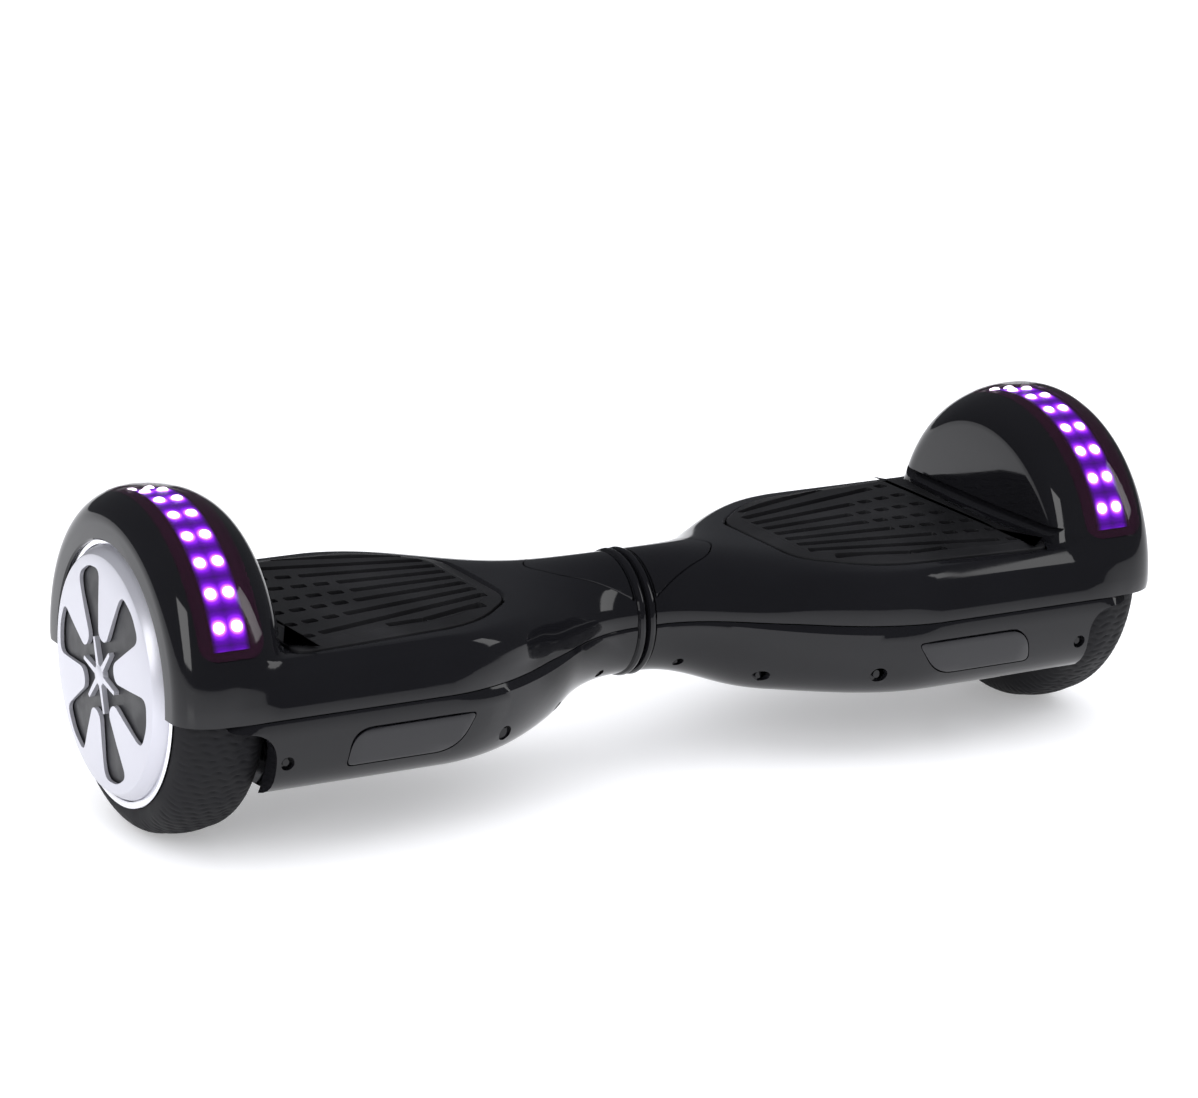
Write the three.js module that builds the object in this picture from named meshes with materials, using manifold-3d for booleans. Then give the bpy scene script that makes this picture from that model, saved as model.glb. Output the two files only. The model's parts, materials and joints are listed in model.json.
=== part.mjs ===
// Self balancing hoverboard: two pivoting halves, two hub-motor wheels, footpads, lights and electronics.
// Units are millimetres. +Z is up, X runs along the wheel axle, -Y is the front, the origin is on the ground
// under the pivot.

import * as THREE from 'three';
import { mergeVertices } from 'three/addons/utils/BufferGeometryUtils.js';
import Module from 'manifold-3d';

const wasm = await Module();
wasm.setup();

// ---------------------------------------------------------------- driving dimensions

const FIT_GAP = 0.3; // between pieces that seat on each other
const SEAM_GAP = 0.4; // parting line between upper and lower shell

const TYRE_RADIUS = 84;
const TYRE_INNER_X = 239.5;
const TYRE_WIDTH = 47;
const TYRE_SHOULDER = 17;
const TYRE_BEAD_RADIUS = TYRE_RADIUS - 26;
const AXLE_Z = TYRE_RADIUS;

const DECK_Z = 108;
const BELLY_Z = 33;
const SEAM_Z = 80;
const BODY_HALF_DEPTH = 93;
const SHELL_WALL = 2.6;
const FLARE_START_X = 30;
const FLARE_SOFTNESS = 0.2; // share of the flare over which it leaves the round neck
const FLARE_END_X = 146;

const NECK_RADIUS = 33;
const PIVOT_Z = 79.5;
const COLLAR_RADIUS = NECK_RADIUS + 1.3;
const COLLAR_WIDTH = 4.6;
const COLLAR_START_X = 0.9;

const FENDER_WALL_X = TYRE_INNER_X - 9.5;
const FENDER_CREST_X = TYRE_INNER_X + 0.585 * TYRE_WIDTH;
const FENDER_INNER_DROP = 21.5; // how far the crest falls to the deck-side wall
const FENDER_OUTER_DROP = 17.5; // how far the crest falls to the outer side wall
const FENDER_SIDE_WALL = 2.4;
const FENDER_BLEND = 5; // softness of the joint between fender and deck
const OPENING_RADIUS = TYRE_RADIUS - 17;
const TYRE_SIDE_CLEARANCE = 2.1;
const TYRE_TOP_CLEARANCE = 2.6;
const FENDER_RADIUS = TYRE_RADIUS + TYRE_TOP_CLEARANCE + 6.4;

const LENS_INNER_X = FENDER_CREST_X - 22;
const LENS_OUTER_X = FENDER_CREST_X + 13;
const LENS_BACK_ANGLE = -24; // degrees from straight up, positive towards the front
const LENS_FRONT_ANGLE = 72;
const LENS_THICKNESS = 1.6;
const LED_BOARD_WIDTH = 20;
const LED_BOARD_THICKNESS = 1;
const LED_CHANNEL_FLOOR = 1.2;

const PAD_INNER_X = 88;
const PAD_OUTER_X = 225;
const PAD_INNER_HALF = 38;
const PAD_OUTER_HALF = 79;
const PAD_SHOULDER_X = 122;
const PAD_SHOULDER_HALF = 70;
const PAD_THICKNESS = 5.8;
const PAD_TRAVEL = 1.5;
const PAD_PROUD = 2.6;
const PAD_CLEARANCE = 0.7;
const TRAY_FLOOR = 2.4;
const PEG_RADIUS = 3;
const PEG_HOLE_RADIUS = 4.5;
const PEG_XS = [120, 195];

const TUBE_RADIUS = 14;
const TUBE_BORE = 11;
const TUBE_HALF_LENGTH = 64;
const BUSH_RADIUS = 17.5;
const BUSH_LENGTH = 12;
const BOSS_RADIUS = 23;
const BOSS_START_X = 16;
const BOSS_END_X = 56;
const RETAINER_RADIUS = 19;
const STOP_PIN_RADIUS = 3;
const PIVOT_LIMIT = 12; // degrees each way
const PIN_CLEARANCE = 0.4;

const FRAME_PLATE_Z = 88;
const FRAME_PLATE_THICKNESS = 5;
const FRAME_HALF_DEPTH = 58;
const FRAME_END_X = 226;
const AXLE_RADIUS = 8;
const AXLE_START_X = 202;
const CLAMP_HALF_DEPTH = 24;
const CLAMP_START_X = 200;

const WHEEL_SIDES = 36; // flats round the tyre and the drum it sits on
const RIM_LIP_RADIUS = TYRE_RADIUS - 15.4;
const RIM_WALL = 4;
const RIM_WEB = 3.4;
const STATOR_RADIUS = TYRE_BEAD_RADIUS - RIM_WALL - 5.5;
const STATOR_WIDTH = 26;
const BEARING_RADIUS = 16;
const BEARING_WIDTH = 7;
const HUB_FACE_RADIUS = RIM_LIP_RADIUS - 8.6;
const HUB_COVER_RISE = 9.7; // how far the silver cover stands out of the rim web
const HUB_RECESS = 4; // depth of the dark panel below the silver face
const PETALS = 6;
const PETAL_TIP_RADIUS = HUB_FACE_RADIUS - 5;
const PETAL_TIP_HALF_ANGLE = 15; // degrees
const FINGER_TIP_RADIUS = 21;
const STAR_HUB_RADIUS = 7;
const STAR_ARM_RADIUS = 20;
const WHEEL_REST_ANGLE = -18; // degrees, how the wheels happen to stand

const HEADLIGHT_INNER_X = 131;
const HEADLIGHT_OUTER_X = 205;
const HEADLIGHT_TOP_Z = 69.5;
const HEADLIGHT_BOTTOM_Z = 51;

const ARCH_START_X = TYRE_INNER_X + 3.5;
const ARCH_TOP_Z = SEAM_Z - 7;
const ARCH_CORNER = 14;
const STRIP_END_X = FENDER_CREST_X + 3; // the lower shell's strip under the fender ends here

const BATTERY_SIZE = [102, 76, 40];
const BATTERY_X = 144;
const MAIN_BOARD_SIZE = [104, 70, 2];
const MAIN_BOARD_X = 142;
const BUTTON_X = 186;
const SOCKET_X = 150;
const PORT_Z = 62;
const BUTTON_RADIUS = 7;
const BUTTON_TRAVEL = 1.2;
const SOCKET_RADIUS = 8;
const SOCKET_FLANGE_RADIUS = 11;
const CAP_THICKNESS = 1.8;
const CAP_HINGE_REACH = 13; // from the socket's centre to the cap's hinge line
const HARNESS_RADIUS = 4;

// sizes that follow from the ones above
const TYRE_OUTER_X = TYRE_INNER_X + TYRE_WIDTH;
const WELL_RADIUS = TYRE_RADIUS + TYRE_TOP_CLEARANCE;
const WELL_INNER_X = TYRE_INNER_X - TYRE_SIDE_CLEARANCE - TYRE_TOP_CLEARANCE;
const WELL_OUTER_X = TYRE_OUTER_X + TYRE_SIDE_CLEARANCE;
const FENDER_OUTER_X = WELL_OUTER_X + FENDER_SIDE_WALL;
const COLLAR_END_X = COLLAR_START_X + COLLAR_WIDTH;
const SHELL_START_X = COLLAR_END_X + FIT_GAP;
const CAVITY_START_X = SHELL_START_X + SHELL_WALL;
const CAVITY_END_X = FENDER_WALL_X - SHELL_WALL;
const PAD_TOP_Z = DECK_Z + PAD_PROUD;
const PAD_BOTTOM_Z = PAD_TOP_Z - PAD_THICKNESS;
const TRAY_TOP_Z = PAD_BOTTOM_Z - PAD_TRAVEL - FIT_GAP;
const TRAY_BOTTOM_Z = TRAY_TOP_Z - TRAY_FLOOR;
const RIM_WEB_X = TYRE_OUTER_X - RIM_WEB;
const FACE_X = TYRE_OUTER_X + FIT_GAP;
const COVER_X = FACE_X + HUB_COVER_RISE;
const TUBE_END_X = TUBE_HALF_LENGTH + 12;
const STOP_PIN_X = BOSS_START_X + BUSH_LENGTH + 10;
const WHEEL_MIDDLE_X = (TYRE_INNER_X + TYRE_OUTER_X) / 2;
const FAR = 400;

// ---------------------------------------------------------------- solids

function closed(geometry) {
  const bare = geometry.clone();
  bare.deleteAttribute('normal');
  bare.deleteAttribute('uv');
  const merged = mergeVertices(bare, 1e-4);
  const points = merged.attributes.position;
  const faces = [];
  let volume = 0;
  const [a, b, c] = [new THREE.Vector3(), new THREE.Vector3(), new THREE.Vector3()];
  for (let i = 0; i < merged.index.count; i += 3) {
    const [p, q, r] = [merged.index.getX(i), merged.index.getX(i + 1), merged.index.getX(i + 2)];
    if (p === q || q === r || r === p) continue;
    faces.push(p, q, r);
    a.fromBufferAttribute(points, p);
    b.fromBufferAttribute(points, q);
    c.fromBufferAttribute(points, r);
    volume += a.dot(b.cross(c));
  }
  if (volume < 0) faces.reverse();
  return { vertices: new Float32Array(points.array), faces: new Uint32Array(faces) };
}

function solid(geometry) {
  const { vertices, faces } = closed(geometry);
  return new wasm.Manifold(new wasm.Mesh({ numProp: 3, vertProperties: vertices, triVerts: faces }));
}

function geometryOf(body) {
  const mesh = body.getMesh();
  const geometry = new THREE.BufferGeometry();
  geometry.setAttribute('position', new THREE.BufferAttribute(new Float32Array(mesh.vertProperties), 3));
  geometry.setIndex(new THREE.BufferAttribute(new Uint32Array(mesh.triVerts), 1));
  geometry.computeVertexNormals();
  return geometry;
}

function mirrored(geometry) {
  const copy = geometry.clone();
  const points = copy.attributes.position;
  for (let i = 0; i < points.count; i++) points.setX(i, -points.getX(i));
  copy.setIndex(new THREE.BufferAttribute(Uint32Array.from(copy.index.array).reverse(), 1));
  copy.computeVertexNormals();
  return copy;
}

const join = (first, ...others) => others.reduce((sum, other) => sum.add(other), first);
const cut = (first, ...others) => others.reduce((rest, other) => rest.subtract(other), first);

function box(x0, x1, y0, y1, z0, z1) {
  const geometry = new THREE.BoxGeometry(x1 - x0, y1 - y0, z1 - z0);
  geometry.translate((x0 + x1) / 2, (y0 + y1) / 2, (z0 + z1) / 2);
  return solid(geometry);
}

// a round bar along X about the line y = 0, z = centreZ
function barX(radius, x0, x1, centreZ, sides = 24) {
  const geometry = new THREE.CylinderGeometry(radius, radius, x1 - x0, sides);
  geometry.rotateZ(-Math.PI / 2);
  geometry.translate((x0 + x1) / 2, 0, centreZ);
  return solid(geometry);
}

function barY(radius, x, z, y0, y1, sides = 16) {
  const geometry = new THREE.CylinderGeometry(radius, radius, y1 - y0, sides);
  geometry.translate(x, (y0 + y1) / 2, z);
  return solid(geometry);
}

function barZ(radius, x, y, z0, z1, sides = 10) {
  const geometry = new THREE.CylinderGeometry(radius, radius, z1 - z0, sides);
  geometry.rotateX(Math.PI / 2);
  geometry.translate(x, y, (z0 + z1) / 2);
  return solid(geometry);
}

// a profile of [x, radius] points turned about the line y = 0, z = centreZ
function turned(profile, centreZ, sides = 28) {
  const points = profile.map(([x, radius]) => new THREE.Vector2(radius, x));
  const geometry = new THREE.LatheGeometry(points, sides);
  geometry.rotateZ(-Math.PI / 2);
  geometry.translate(0, 0, centreZ);
  return solid(geometry);
}

// a ring with a square section
const ringX = (inner, outer, x0, x1, centreZ, sides = 24) =>
  turned([[x0, inner], [x0, outer], [x1, outer], [x1, inner], [x0, inner]], centreZ, sides);

// an outline in X and Y, raised from z0 to z1
function prismZ(outline, z0, z1, curveSegments = 3) {
  const geometry = new THREE.ExtrudeGeometry(outline, { depth: z1 - z0, bevelEnabled: false, curveSegments });
  geometry.translate(0, 0, z0);
  return solid(geometry);
}

// an outline in X and Z, filling y0 to y1
function prismY(outline, y0, y1, curveSegments = 3) {
  const geometry = new THREE.ExtrudeGeometry(outline, { depth: y1 - y0, bevelEnabled: false, curveSegments });
  geometry.rotateX(Math.PI / 2);
  geometry.translate(0, y1, 0);
  return solid(geometry);
}

// an outline in Y and Z, filling x0 to x1
function prismX(outline, x0, x1, curveSegments = 6) {
  const geometry = new THREE.ExtrudeGeometry(outline, { depth: x1 - x0, bevelEnabled: false, curveSegments });
  const yzx = new THREE.Matrix4().makeBasis(
    new THREE.Vector3(0, 1, 0), new THREE.Vector3(0, 0, 1), new THREE.Vector3(1, 0, 0));
  geometry.applyMatrix4(yzx);
  geometry.translate(x0, 0, 0);
  return solid(geometry);
}

// rings of points, all of one length, skinned and capped at both ends
function skinned(rings) {
  const count = rings[0].length;
  const positions = rings.flat(2);
  const faces = [];
  for (let i = 0; i + 1 < rings.length; i++) {
    for (let j = 0; j < count; j++) {
      const [a, b] = [i * count + j, i * count + (j + 1) % count];
      faces.push(a, b, a + count, b, b + count, a + count);
    }
  }
  for (const [ring, flip] of [[0, true], [rings.length - 1, false]]) {
    const centre = positions.length / 3;
    const sum = rings[ring].reduce((s, p) => [s[0] + p[0], s[1] + p[1], s[2] + p[2]], [0, 0, 0]);
    positions.push(...sum.map((value) => value / count));
    for (let j = 0; j < count; j++) {
      const [a, b] = [ring * count + j, ring * count + (j + 1) % count];
      faces.push(...(flip ? [centre, b, a] : [centre, a, b]));
    }
  }
  const geometry = new THREE.BufferGeometry();
  geometry.setAttribute('position', new THREE.BufferAttribute(new Float32Array(positions), 3));
  geometry.setIndex(faces);
  return solid(geometry);
}

// ---------------------------------------------------------------- the body's outer form

const radians = (degrees) => degrees * Math.PI / 180;
const clamp01 = (value) => Math.min(1, Math.max(0, value));
const mix = (a, b, share) => a + (b - a) * share;

const BELLY_SHARE = 0.36; // share of the flare in which the belly reaches its full depth
const FADE_START_X = FENDER_CREST_X - 15; // where the deck begins to draw in under the fender
const FADE_DEPTH = 0.35;

function softMax(a, b, softness) {
  const share = clamp01(0.5 + 0.5 * (a - b) / softness);
  return mix(b, a, share) + softness * share * (1 - share);
}

// half width, heights above and below the seam, and squareness of each half of the section at x
function bodySection(x, inset) {
  const along = (x - FLARE_START_X) / (FLARE_END_X - FLARE_START_X);
  const t = clamp01(softMax(along, 0, FLARE_SOFTNESS));
  const width = Math.sin(t * Math.PI / 2);
  const belly = Math.sin(clamp01(t / BELLY_SHARE) * Math.PI / 2);
  const fade = clamp01((x - FADE_START_X) / (FENDER_OUTER_X - FADE_START_X));
  const topZ = mix(PIVOT_Z + NECK_RADIUS, DECK_Z, width);
  return {
    halfWidth: mix(NECK_RADIUS, BODY_HALF_DEPTH, width) - inset,
    fade: 1 - FADE_DEPTH * fade * fade,
    rise: topZ - SEAM_Z - inset,
    fall: SEAM_Z - mix(PIVOT_Z - NECK_RADIUS, BELLY_Z, belly) - inset,
    upperPower: 2 + 7.5 * Math.pow(t, 2.5),
    lowerPower: 2 + 2.4 * t * t * (3 - 2 * t),
  };
}

// radius of the fender's round back at x
function fenderRadius(x) {
  const inside = x < FENDER_CREST_X;
  const reach = inside ? FENDER_CREST_X - FENDER_WALL_X : FENDER_OUTER_X - FENDER_CREST_X;
  const drop = inside ? FENDER_INNER_DROP : FENDER_OUTER_DROP;
  const share = clamp01(Math.abs(x - FENDER_CREST_X) / reach);
  return FENDER_RADIUS - drop * (1 - Math.sqrt(1 - share * share));
}

// directions in which each section is measured, in degrees from the seam plane, closest at its corners
const UPPER_QUARTER = [0, 8, 14, 17, 21, 28, 37, 46, 55, 64, 73, 82];
const LOWER_QUARTER = [0, 12, 20, 26, 33, 45, 60, 75];
const upperHalf = [...UPPER_QUARTER, 90, ...UPPER_QUARTER.slice(1).reverse().map((angle) => 180 - angle)];
const lowerHalf = [...LOWER_QUARTER, 90, ...LOWER_QUARTER.slice(1).reverse().map((angle) => 180 - angle)];
const DIRECTIONS = [...upperHalf, ...lowerHalf.map((angle) => angle + 180)];

// one ring of points round the body at x; fender is the fender's radius there, or 0
function bodyRing(x, inset, fender) {
  const section = bodySection(x, inset);
  return DIRECTIONS.map((direction) => {
    const [dirY, dirZ] = [Math.cos(radians(direction)), Math.sin(radians(direction))];
    const upper = direction <= 180;
    const power = upper ? section.upperPower : section.lowerPower;
    const height = upper ? section.rise : section.fall;
    const sum = Math.pow(Math.abs(dirY) / section.halfWidth, power) + Math.pow(Math.abs(dirZ) / height, power);
    let reach = Math.pow(sum, -1 / power) * (upper ? section.fade : 1);
    const lift = AXLE_Z - SEAM_Z;
    const across = fender * fender - lift * lift * dirY * dirY;
    if (upper && fender > 0 && across > 0) {
      reach = softMax(reach, lift * dirZ + Math.sqrt(across), FENDER_BLEND);
    }
    return [x, dirY * reach, SEAM_Z + dirZ * reach];
  });
}

function bodyStations() {
  const stations = [SHELL_START_X, 14, 22, FLARE_START_X].map((x) => [x, 0]);
  for (let i = 1; i <= 6; i++) stations.push([mix(FLARE_START_X, FLARE_END_X, i / 6), 0]);
  stations.push([188, 0], [FENDER_WALL_X - 2, 0]);
  const foot = DECK_Z - AXLE_Z;
  const top = FENDER_RADIUS - FENDER_INNER_DROP;
  stations.push([FENDER_WALL_X - 1.2, foot], [FENDER_WALL_X - 0.6, mix(foot, top, 0.5)]);
  for (let i = 0; i <= 5; i++) {
    const x = FENDER_CREST_X - (FENDER_CREST_X - FENDER_WALL_X) * Math.cos((i / 5) * Math.PI / 2);
    stations.push([x, fenderRadius(x)]);
  }
  for (let i = 1; i <= 4; i++) {
    const x = FENDER_CREST_X + (FENDER_OUTER_X - FENDER_CREST_X) * Math.sin((i / 4) * Math.PI / 2);
    stations.push([x, fenderRadius(x)]);
  }
  return stations;
}

const bodyOuter = skinned(bodyStations().map(([x, fender]) => bodyRing(x, 0, fender)));

const cavityXs = [CAVITY_START_X, 14, 22];
for (let i = 0; i <= 6; i++) cavityXs.push(mix(FLARE_START_X, FLARE_END_X, i / 6));
cavityXs.push(CAVITY_END_X);
const bodyCavity = skinned(cavityXs.map((x) => bodyRing(x, SHELL_WALL, 0)));

const bodyWall = cut(bodyOuter, bodyCavity);

// the space for the wheel keeps a wall's thickness under the fender's round back
function wellProfile() {
  const profile = [[WELL_INNER_X, 0]];
  for (let i = 0; i <= 6; i++) {
    const x = mix(WELL_INNER_X, WELL_OUTER_X, i / 6);
    profile.push([x, Math.min(WELL_RADIUS, fenderRadius(x) - FENDER_SIDE_WALL)]);
  }
  profile.push([WELL_OUTER_X, 0]);
  return profile;
}

const wheelWell = join(
  turned(wellProfile(), AXLE_Z, 36),
  barX(OPENING_RADIUS, WELL_OUTER_X - 1, FAR, AXLE_Z, 36));

// ---------------------------------------------------------------- outlines

function roundedOutline(corners) {
  const outline = new THREE.Shape();
  const count = corners.length;
  corners.forEach(([x, y, radius], i) => {
    const here = new THREE.Vector2(x, y);
    const before = new THREE.Vector2(...corners[(i + count - 1) % count].slice(0, 2));
    const after = new THREE.Vector2(...corners[(i + 1) % count].slice(0, 2));
    const start = here.clone().add(before.sub(here).setLength(radius));
    const end = here.clone().add(after.sub(here).setLength(radius));
    if (i === 0) outline.moveTo(start.x, start.y);
    else outline.lineTo(start.x, start.y);
    outline.quadraticCurveTo(x, y, end.x, end.y);
  });
  outline.closePath();
  return outline;
}

function padOutline(grow) {
  const slope = (PAD_OUTER_HALF - PAD_SHOULDER_HALF) / (PAD_OUTER_X - PAD_SHOULDER_X);
  const outerHalf = PAD_OUTER_HALF + grow * (1 + slope);
  const shoulder = PAD_SHOULDER_HALF + grow;
  const inner = PAD_INNER_HALF + grow * 0.5;
  return roundedOutline([
    [PAD_INNER_X - grow, -inner, 12], [PAD_SHOULDER_X - grow * 0.4, -shoulder, 22],
    [PAD_OUTER_X + grow, -outerHalf, 9], [PAD_OUTER_X + grow, outerHalf, 9],
    [PAD_SHOULDER_X - grow * 0.4, shoulder, 22], [PAD_INNER_X - grow, inner, 12],
  ]);
}

function headlightOutline(grow) {
  return roundedOutline([
    [HEADLIGHT_INNER_X - grow, HEADLIGHT_TOP_Z + grow, 4],
    [HEADLIGHT_OUTER_X - 3 + grow, HEADLIGHT_TOP_Z + grow, 12],
    [HEADLIGHT_OUTER_X + grow, HEADLIGHT_BOTTOM_Z - grow, 4],
    [HEADLIGHT_INNER_X + 12 - grow, HEADLIGHT_BOTTOM_Z - grow, 12],
  ]);
}

function neckPanelOutline(grow) {
  const start = SHELL_START_X + SHELL_WALL * 0.5 - grow;
  return roundedOutline([
    [start, -29 - grow, 1], [46, -17 - grow, 8], [58 + grow, 0, 9], [46, 17 + grow, 8], [start, 29 + grow, 1],
  ]);
}

// a slice of ring between two radii and two angles, angles in degrees from up towards the front
function arcOutline(inner, outer, back, front) {
  const outline = new THREE.Shape();
  const [from, to] = [radians(90 + front), radians(90 + back)];
  outline.absarc(0, AXLE_Z, outer, from, to, true);
  outline.absarc(0, AXLE_Z, inner, to, from, false);
  outline.closePath();
  return outline;
}

// ---------------------------------------------------------------- shells and their inserts

function fenderSkin(inset, x0, x1) {
  const profile = [[x0, 0]];
  for (let i = 0; i <= 6; i++) {
    const x = mix(x0, x1, i / 6);
    profile.push([x, fenderRadius(x) - inset]);
  }
  profile.push([x1, 0]);
  return turned(profile, AXLE_Z, 48);
}

function lensZone(grow, x0, x1, inner) {
  const spread = grow * 180 / (Math.PI * FENDER_RADIUS);
  const [back, front] = [LENS_BACK_ANGLE - spread, LENS_FRONT_ANGLE + spread];
  return prismX(arcOutline(inner, FENDER_RADIUS + 8, back, front), x0, x1, 6);
}

const aboveSeam = box(-FAR, FAR, -FAR, FAR, SEAM_Z + SEAM_GAP / 2, FAR);
const belowSeam = box(-FAR, FAR, -FAR, FAR, -FAR, SEAM_Z - SEAM_GAP / 2);
const neckBore = barX(BOSS_RADIUS + 3, 0, CAVITY_START_X + 4, PIVOT_Z);
const axleNotch = join(
  barX(CLAMP_HALF_DEPTH - 4, CAVITY_END_X - 4, WELL_INNER_X + 2, AXLE_Z, 24),
  box(CAVITY_END_X - 4, WELL_INNER_X + 2, -CLAMP_HALF_DEPTH + 4, CLAMP_HALF_DEPTH - 4, 56, AXLE_Z));

function upperShell() {
  const tray = prismZ(padOutline(SHELL_WALL), TRAY_BOTTOM_Z, DECK_Z - SHELL_WALL / 2);
  const recess = prismZ(padOutline(PAD_CLEARANCE), TRAY_TOP_Z, DECK_Z + 20);
  const lensSeat = cut(
    lensZone(FIT_GAP, LENS_INNER_X - FIT_GAP, LENS_OUTER_X + FIT_GAP, WELL_RADIUS - 1),
    fenderSkin(LENS_THICKNESS + FIT_GAP, LENS_INNER_X - 2, LENS_OUTER_X + 2));
  const middle = (LENS_INNER_X + LENS_OUTER_X) / 2;
  const half = LED_BOARD_WIDTH / 2 + FIT_GAP;
  const channel = lensZone(FIT_GAP - 3, middle - half, middle + half, WELL_RADIUS + LED_CHANNEL_FLOOR);
  const panel = prismZ(neckPanelOutline(FIT_GAP), SEAM_Z + 8, FAR);
  const pegHoles = PEG_XS.map((x) => barZ(PEG_HOLE_RADIUS, x, 0, TRAY_BOTTOM_Z - 1, TRAY_TOP_Z + 1));
  const body = join(bodyWall.intersect(aboveSeam), tray);
  return cut(body, wheelWell, recess, lensSeat, channel, panel, neckBore, axleNotch, ...pegHoles);
}

function lowerShell() {
  const arch = prismY(roundedOutline([
    [ARCH_START_X, -FAR, 1], [ARCH_START_X, ARCH_TOP_Z, ARCH_CORNER], [STRIP_END_X - 2, ARCH_TOP_Z + 4, 3],
    [STRIP_END_X, SEAM_Z + 9, 1], [FAR, SEAM_Z + 9, 1], [FAR, -FAR, 1],
  ]), -FAR, FAR, 6);
  const light = prismY(headlightOutline(FIT_GAP), -FAR, 0);
  return cut(bodyWall.intersect(belowSeam), wheelWell, arch, light, neckBore, axleNotch);
}

const portHoles = join(
  barY(BUTTON_RADIUS + FIT_GAP, BUTTON_X, PORT_Z, 60, FAR),
  barY(SOCKET_FLANGE_RADIUS + FIT_GAP, SOCKET_X, PORT_Z, 60, FAR));

function neckPanel() {
  const zone = prismZ(neckPanelOutline(0), SEAM_Z + 8 + FIT_GAP, FAR);
  return cut(bodyWall.intersect(zone), neckBore);
}

function headlightLens() {
  return bodyWall.intersect(prismY(headlightOutline(0), -FAR, 0));
}

function headlightBoard() {
  const y = -BODY_HALF_DEPTH + SHELL_WALL + 6;
  const [bottom, top] = [HEADLIGHT_BOTTOM_Z + 3, HEADLIGHT_TOP_Z - 3];
  return box(HEADLIGHT_INNER_X + 12, HEADLIGHT_OUTER_X - 12, y, y + 1.6, bottom, top);
}

function fenderLens() {
  const inner = fenderSkin(LENS_THICKNESS, LENS_INNER_X - 2, LENS_OUTER_X + 2);
  const zone = lensZone(0, LENS_INNER_X, LENS_OUTER_X, WELL_RADIUS);
  return cut(bodyOuter.intersect(zone), inner);
}

function ledBoard() {
  const middle = (LENS_INNER_X + LENS_OUTER_X) / 2;
  const floor = WELL_RADIUS + LED_CHANNEL_FLOOR + FIT_GAP;
  const margin = 4 * 180 / (Math.PI * FENDER_RADIUS);
  const [back, front] = [LENS_BACK_ANGLE + margin, LENS_FRONT_ANGLE - margin];
  const outline = arcOutline(floor, floor + LED_BOARD_THICKNESS, back, front);
  return prismX(outline, middle - LED_BOARD_WIDTH / 2, middle + LED_BOARD_WIDTH / 2, 6);
}

function footpad() {
  const mat = prismZ(padOutline(0), PAD_BOTTOM_Z, PAD_TOP_Z);
  const pegTip = FRAME_PLATE_Z + FRAME_PLATE_THICKNESS + 6;
  const pegs = PEG_XS.map((x) => barZ(PEG_RADIUS, x, 0, pegTip, PAD_BOTTOM_Z + 1));
  return join(mat, ...pegs);
}

// ---------------------------------------------------------------- structure

function chassis(pivotBore) {
  const boss = barX(BOSS_RADIUS, BOSS_START_X, BOSS_END_X + BUSH_LENGTH, PIVOT_Z, 28);
  const top = FRAME_PLATE_Z + FRAME_PLATE_THICKNESS;
  const plate = prismZ(roundedOutline([
    [BOSS_END_X - 6, -16, 2], [96, -FRAME_HALF_DEPTH, 10], [FRAME_END_X, -FRAME_HALF_DEPTH, 8],
    [FRAME_END_X, FRAME_HALF_DEPTH, 8], [96, FRAME_HALF_DEPTH, 10], [BOSS_END_X - 6, 16, 2],
  ]), FRAME_PLATE_Z, top, 4);
  const [front, back] = [-CLAMP_HALF_DEPTH, CLAMP_HALF_DEPTH];
  const seat = box(CLAMP_START_X, FRAME_END_X, front, back, AXLE_Z + FIT_GAP / 2, top - 1);
  const [ribBottom, ribTop] = [FRAME_PLATE_Z - 6, FRAME_PLATE_Z + 1];
  const ribs = [-40, 40].map((y) => box(90, FRAME_END_X - 6, y - 2, y + 2, ribBottom, ribTop));
  return cut(
    join(boss, plate, seat, ...ribs),
    barX(pivotBore, 0, BOSS_END_X + BUSH_LENGTH + 1, PIVOT_Z, 28),
    barX(RETAINER_RADIUS + 2, BOSS_END_X + BUSH_LENGTH, TUBE_END_X + 3, PIVOT_Z, 24),
    barX(AXLE_RADIUS + FIT_GAP, CLAMP_START_X - 1, FAR, AXLE_Z, 24));
}

function axleClamp() {
  const [bottom, top] = [AXLE_Z - AXLE_RADIUS - 6, AXLE_Z - FIT_GAP / 2];
  const block = box(CLAMP_START_X, FRAME_END_X, -CLAMP_HALF_DEPTH, CLAMP_HALF_DEPTH, bottom, top);
  return cut(block, barX(AXLE_RADIUS + FIT_GAP, CLAMP_START_X - 1, FAR, AXLE_Z, 24));
}

function sensorBoard() {
  const z = FRAME_PLATE_Z + FRAME_PLATE_THICKNESS + 1;
  const board = box(106, 208, -26, 26, z, z + 1.6);
  const switches = PEG_XS.map((x) => box(x - 5, x + 5, -6, 6, z + 1, z + 3.4));
  return join(board, ...switches);
}

// ---------------------------------------------------------------- wheel with its hub motor

function tyre() {
  const profile = [];
  const middle = WHEEL_MIDDLE_X;
  const crown = TYRE_RADIUS - 1.2;
  const half = TYRE_WIDTH / 2;
  profile.push([middle - half + RIM_WEB + FIT_GAP, TYRE_BEAD_RADIUS + FIT_GAP]);
  profile.push([middle - half + RIM_WEB + FIT_GAP, RIM_LIP_RADIUS + FIT_GAP - 1]);
  profile.push([middle - half, RIM_LIP_RADIUS + FIT_GAP]);
  for (let i = 0; i <= 3; i++) {
    const turn = radians(90 * i / 3);
    profile.push([
      middle - half + (TYRE_SHOULDER - 3) * (1 - Math.cos(turn)),
      crown - TYRE_SHOULDER + 3 + (TYRE_SHOULDER - 3) * Math.sin(turn),
    ]);
  }
  profile.push([middle, TYRE_RADIUS]);
  const other = profile.slice(0, -1).reverse().map(([x, radius]) => [2 * middle - x, radius]);
  const ring = profile.concat(other);
  ring.push(ring[0]);
  return turned(ring, AXLE_Z, WHEEL_SIDES);
}

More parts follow.
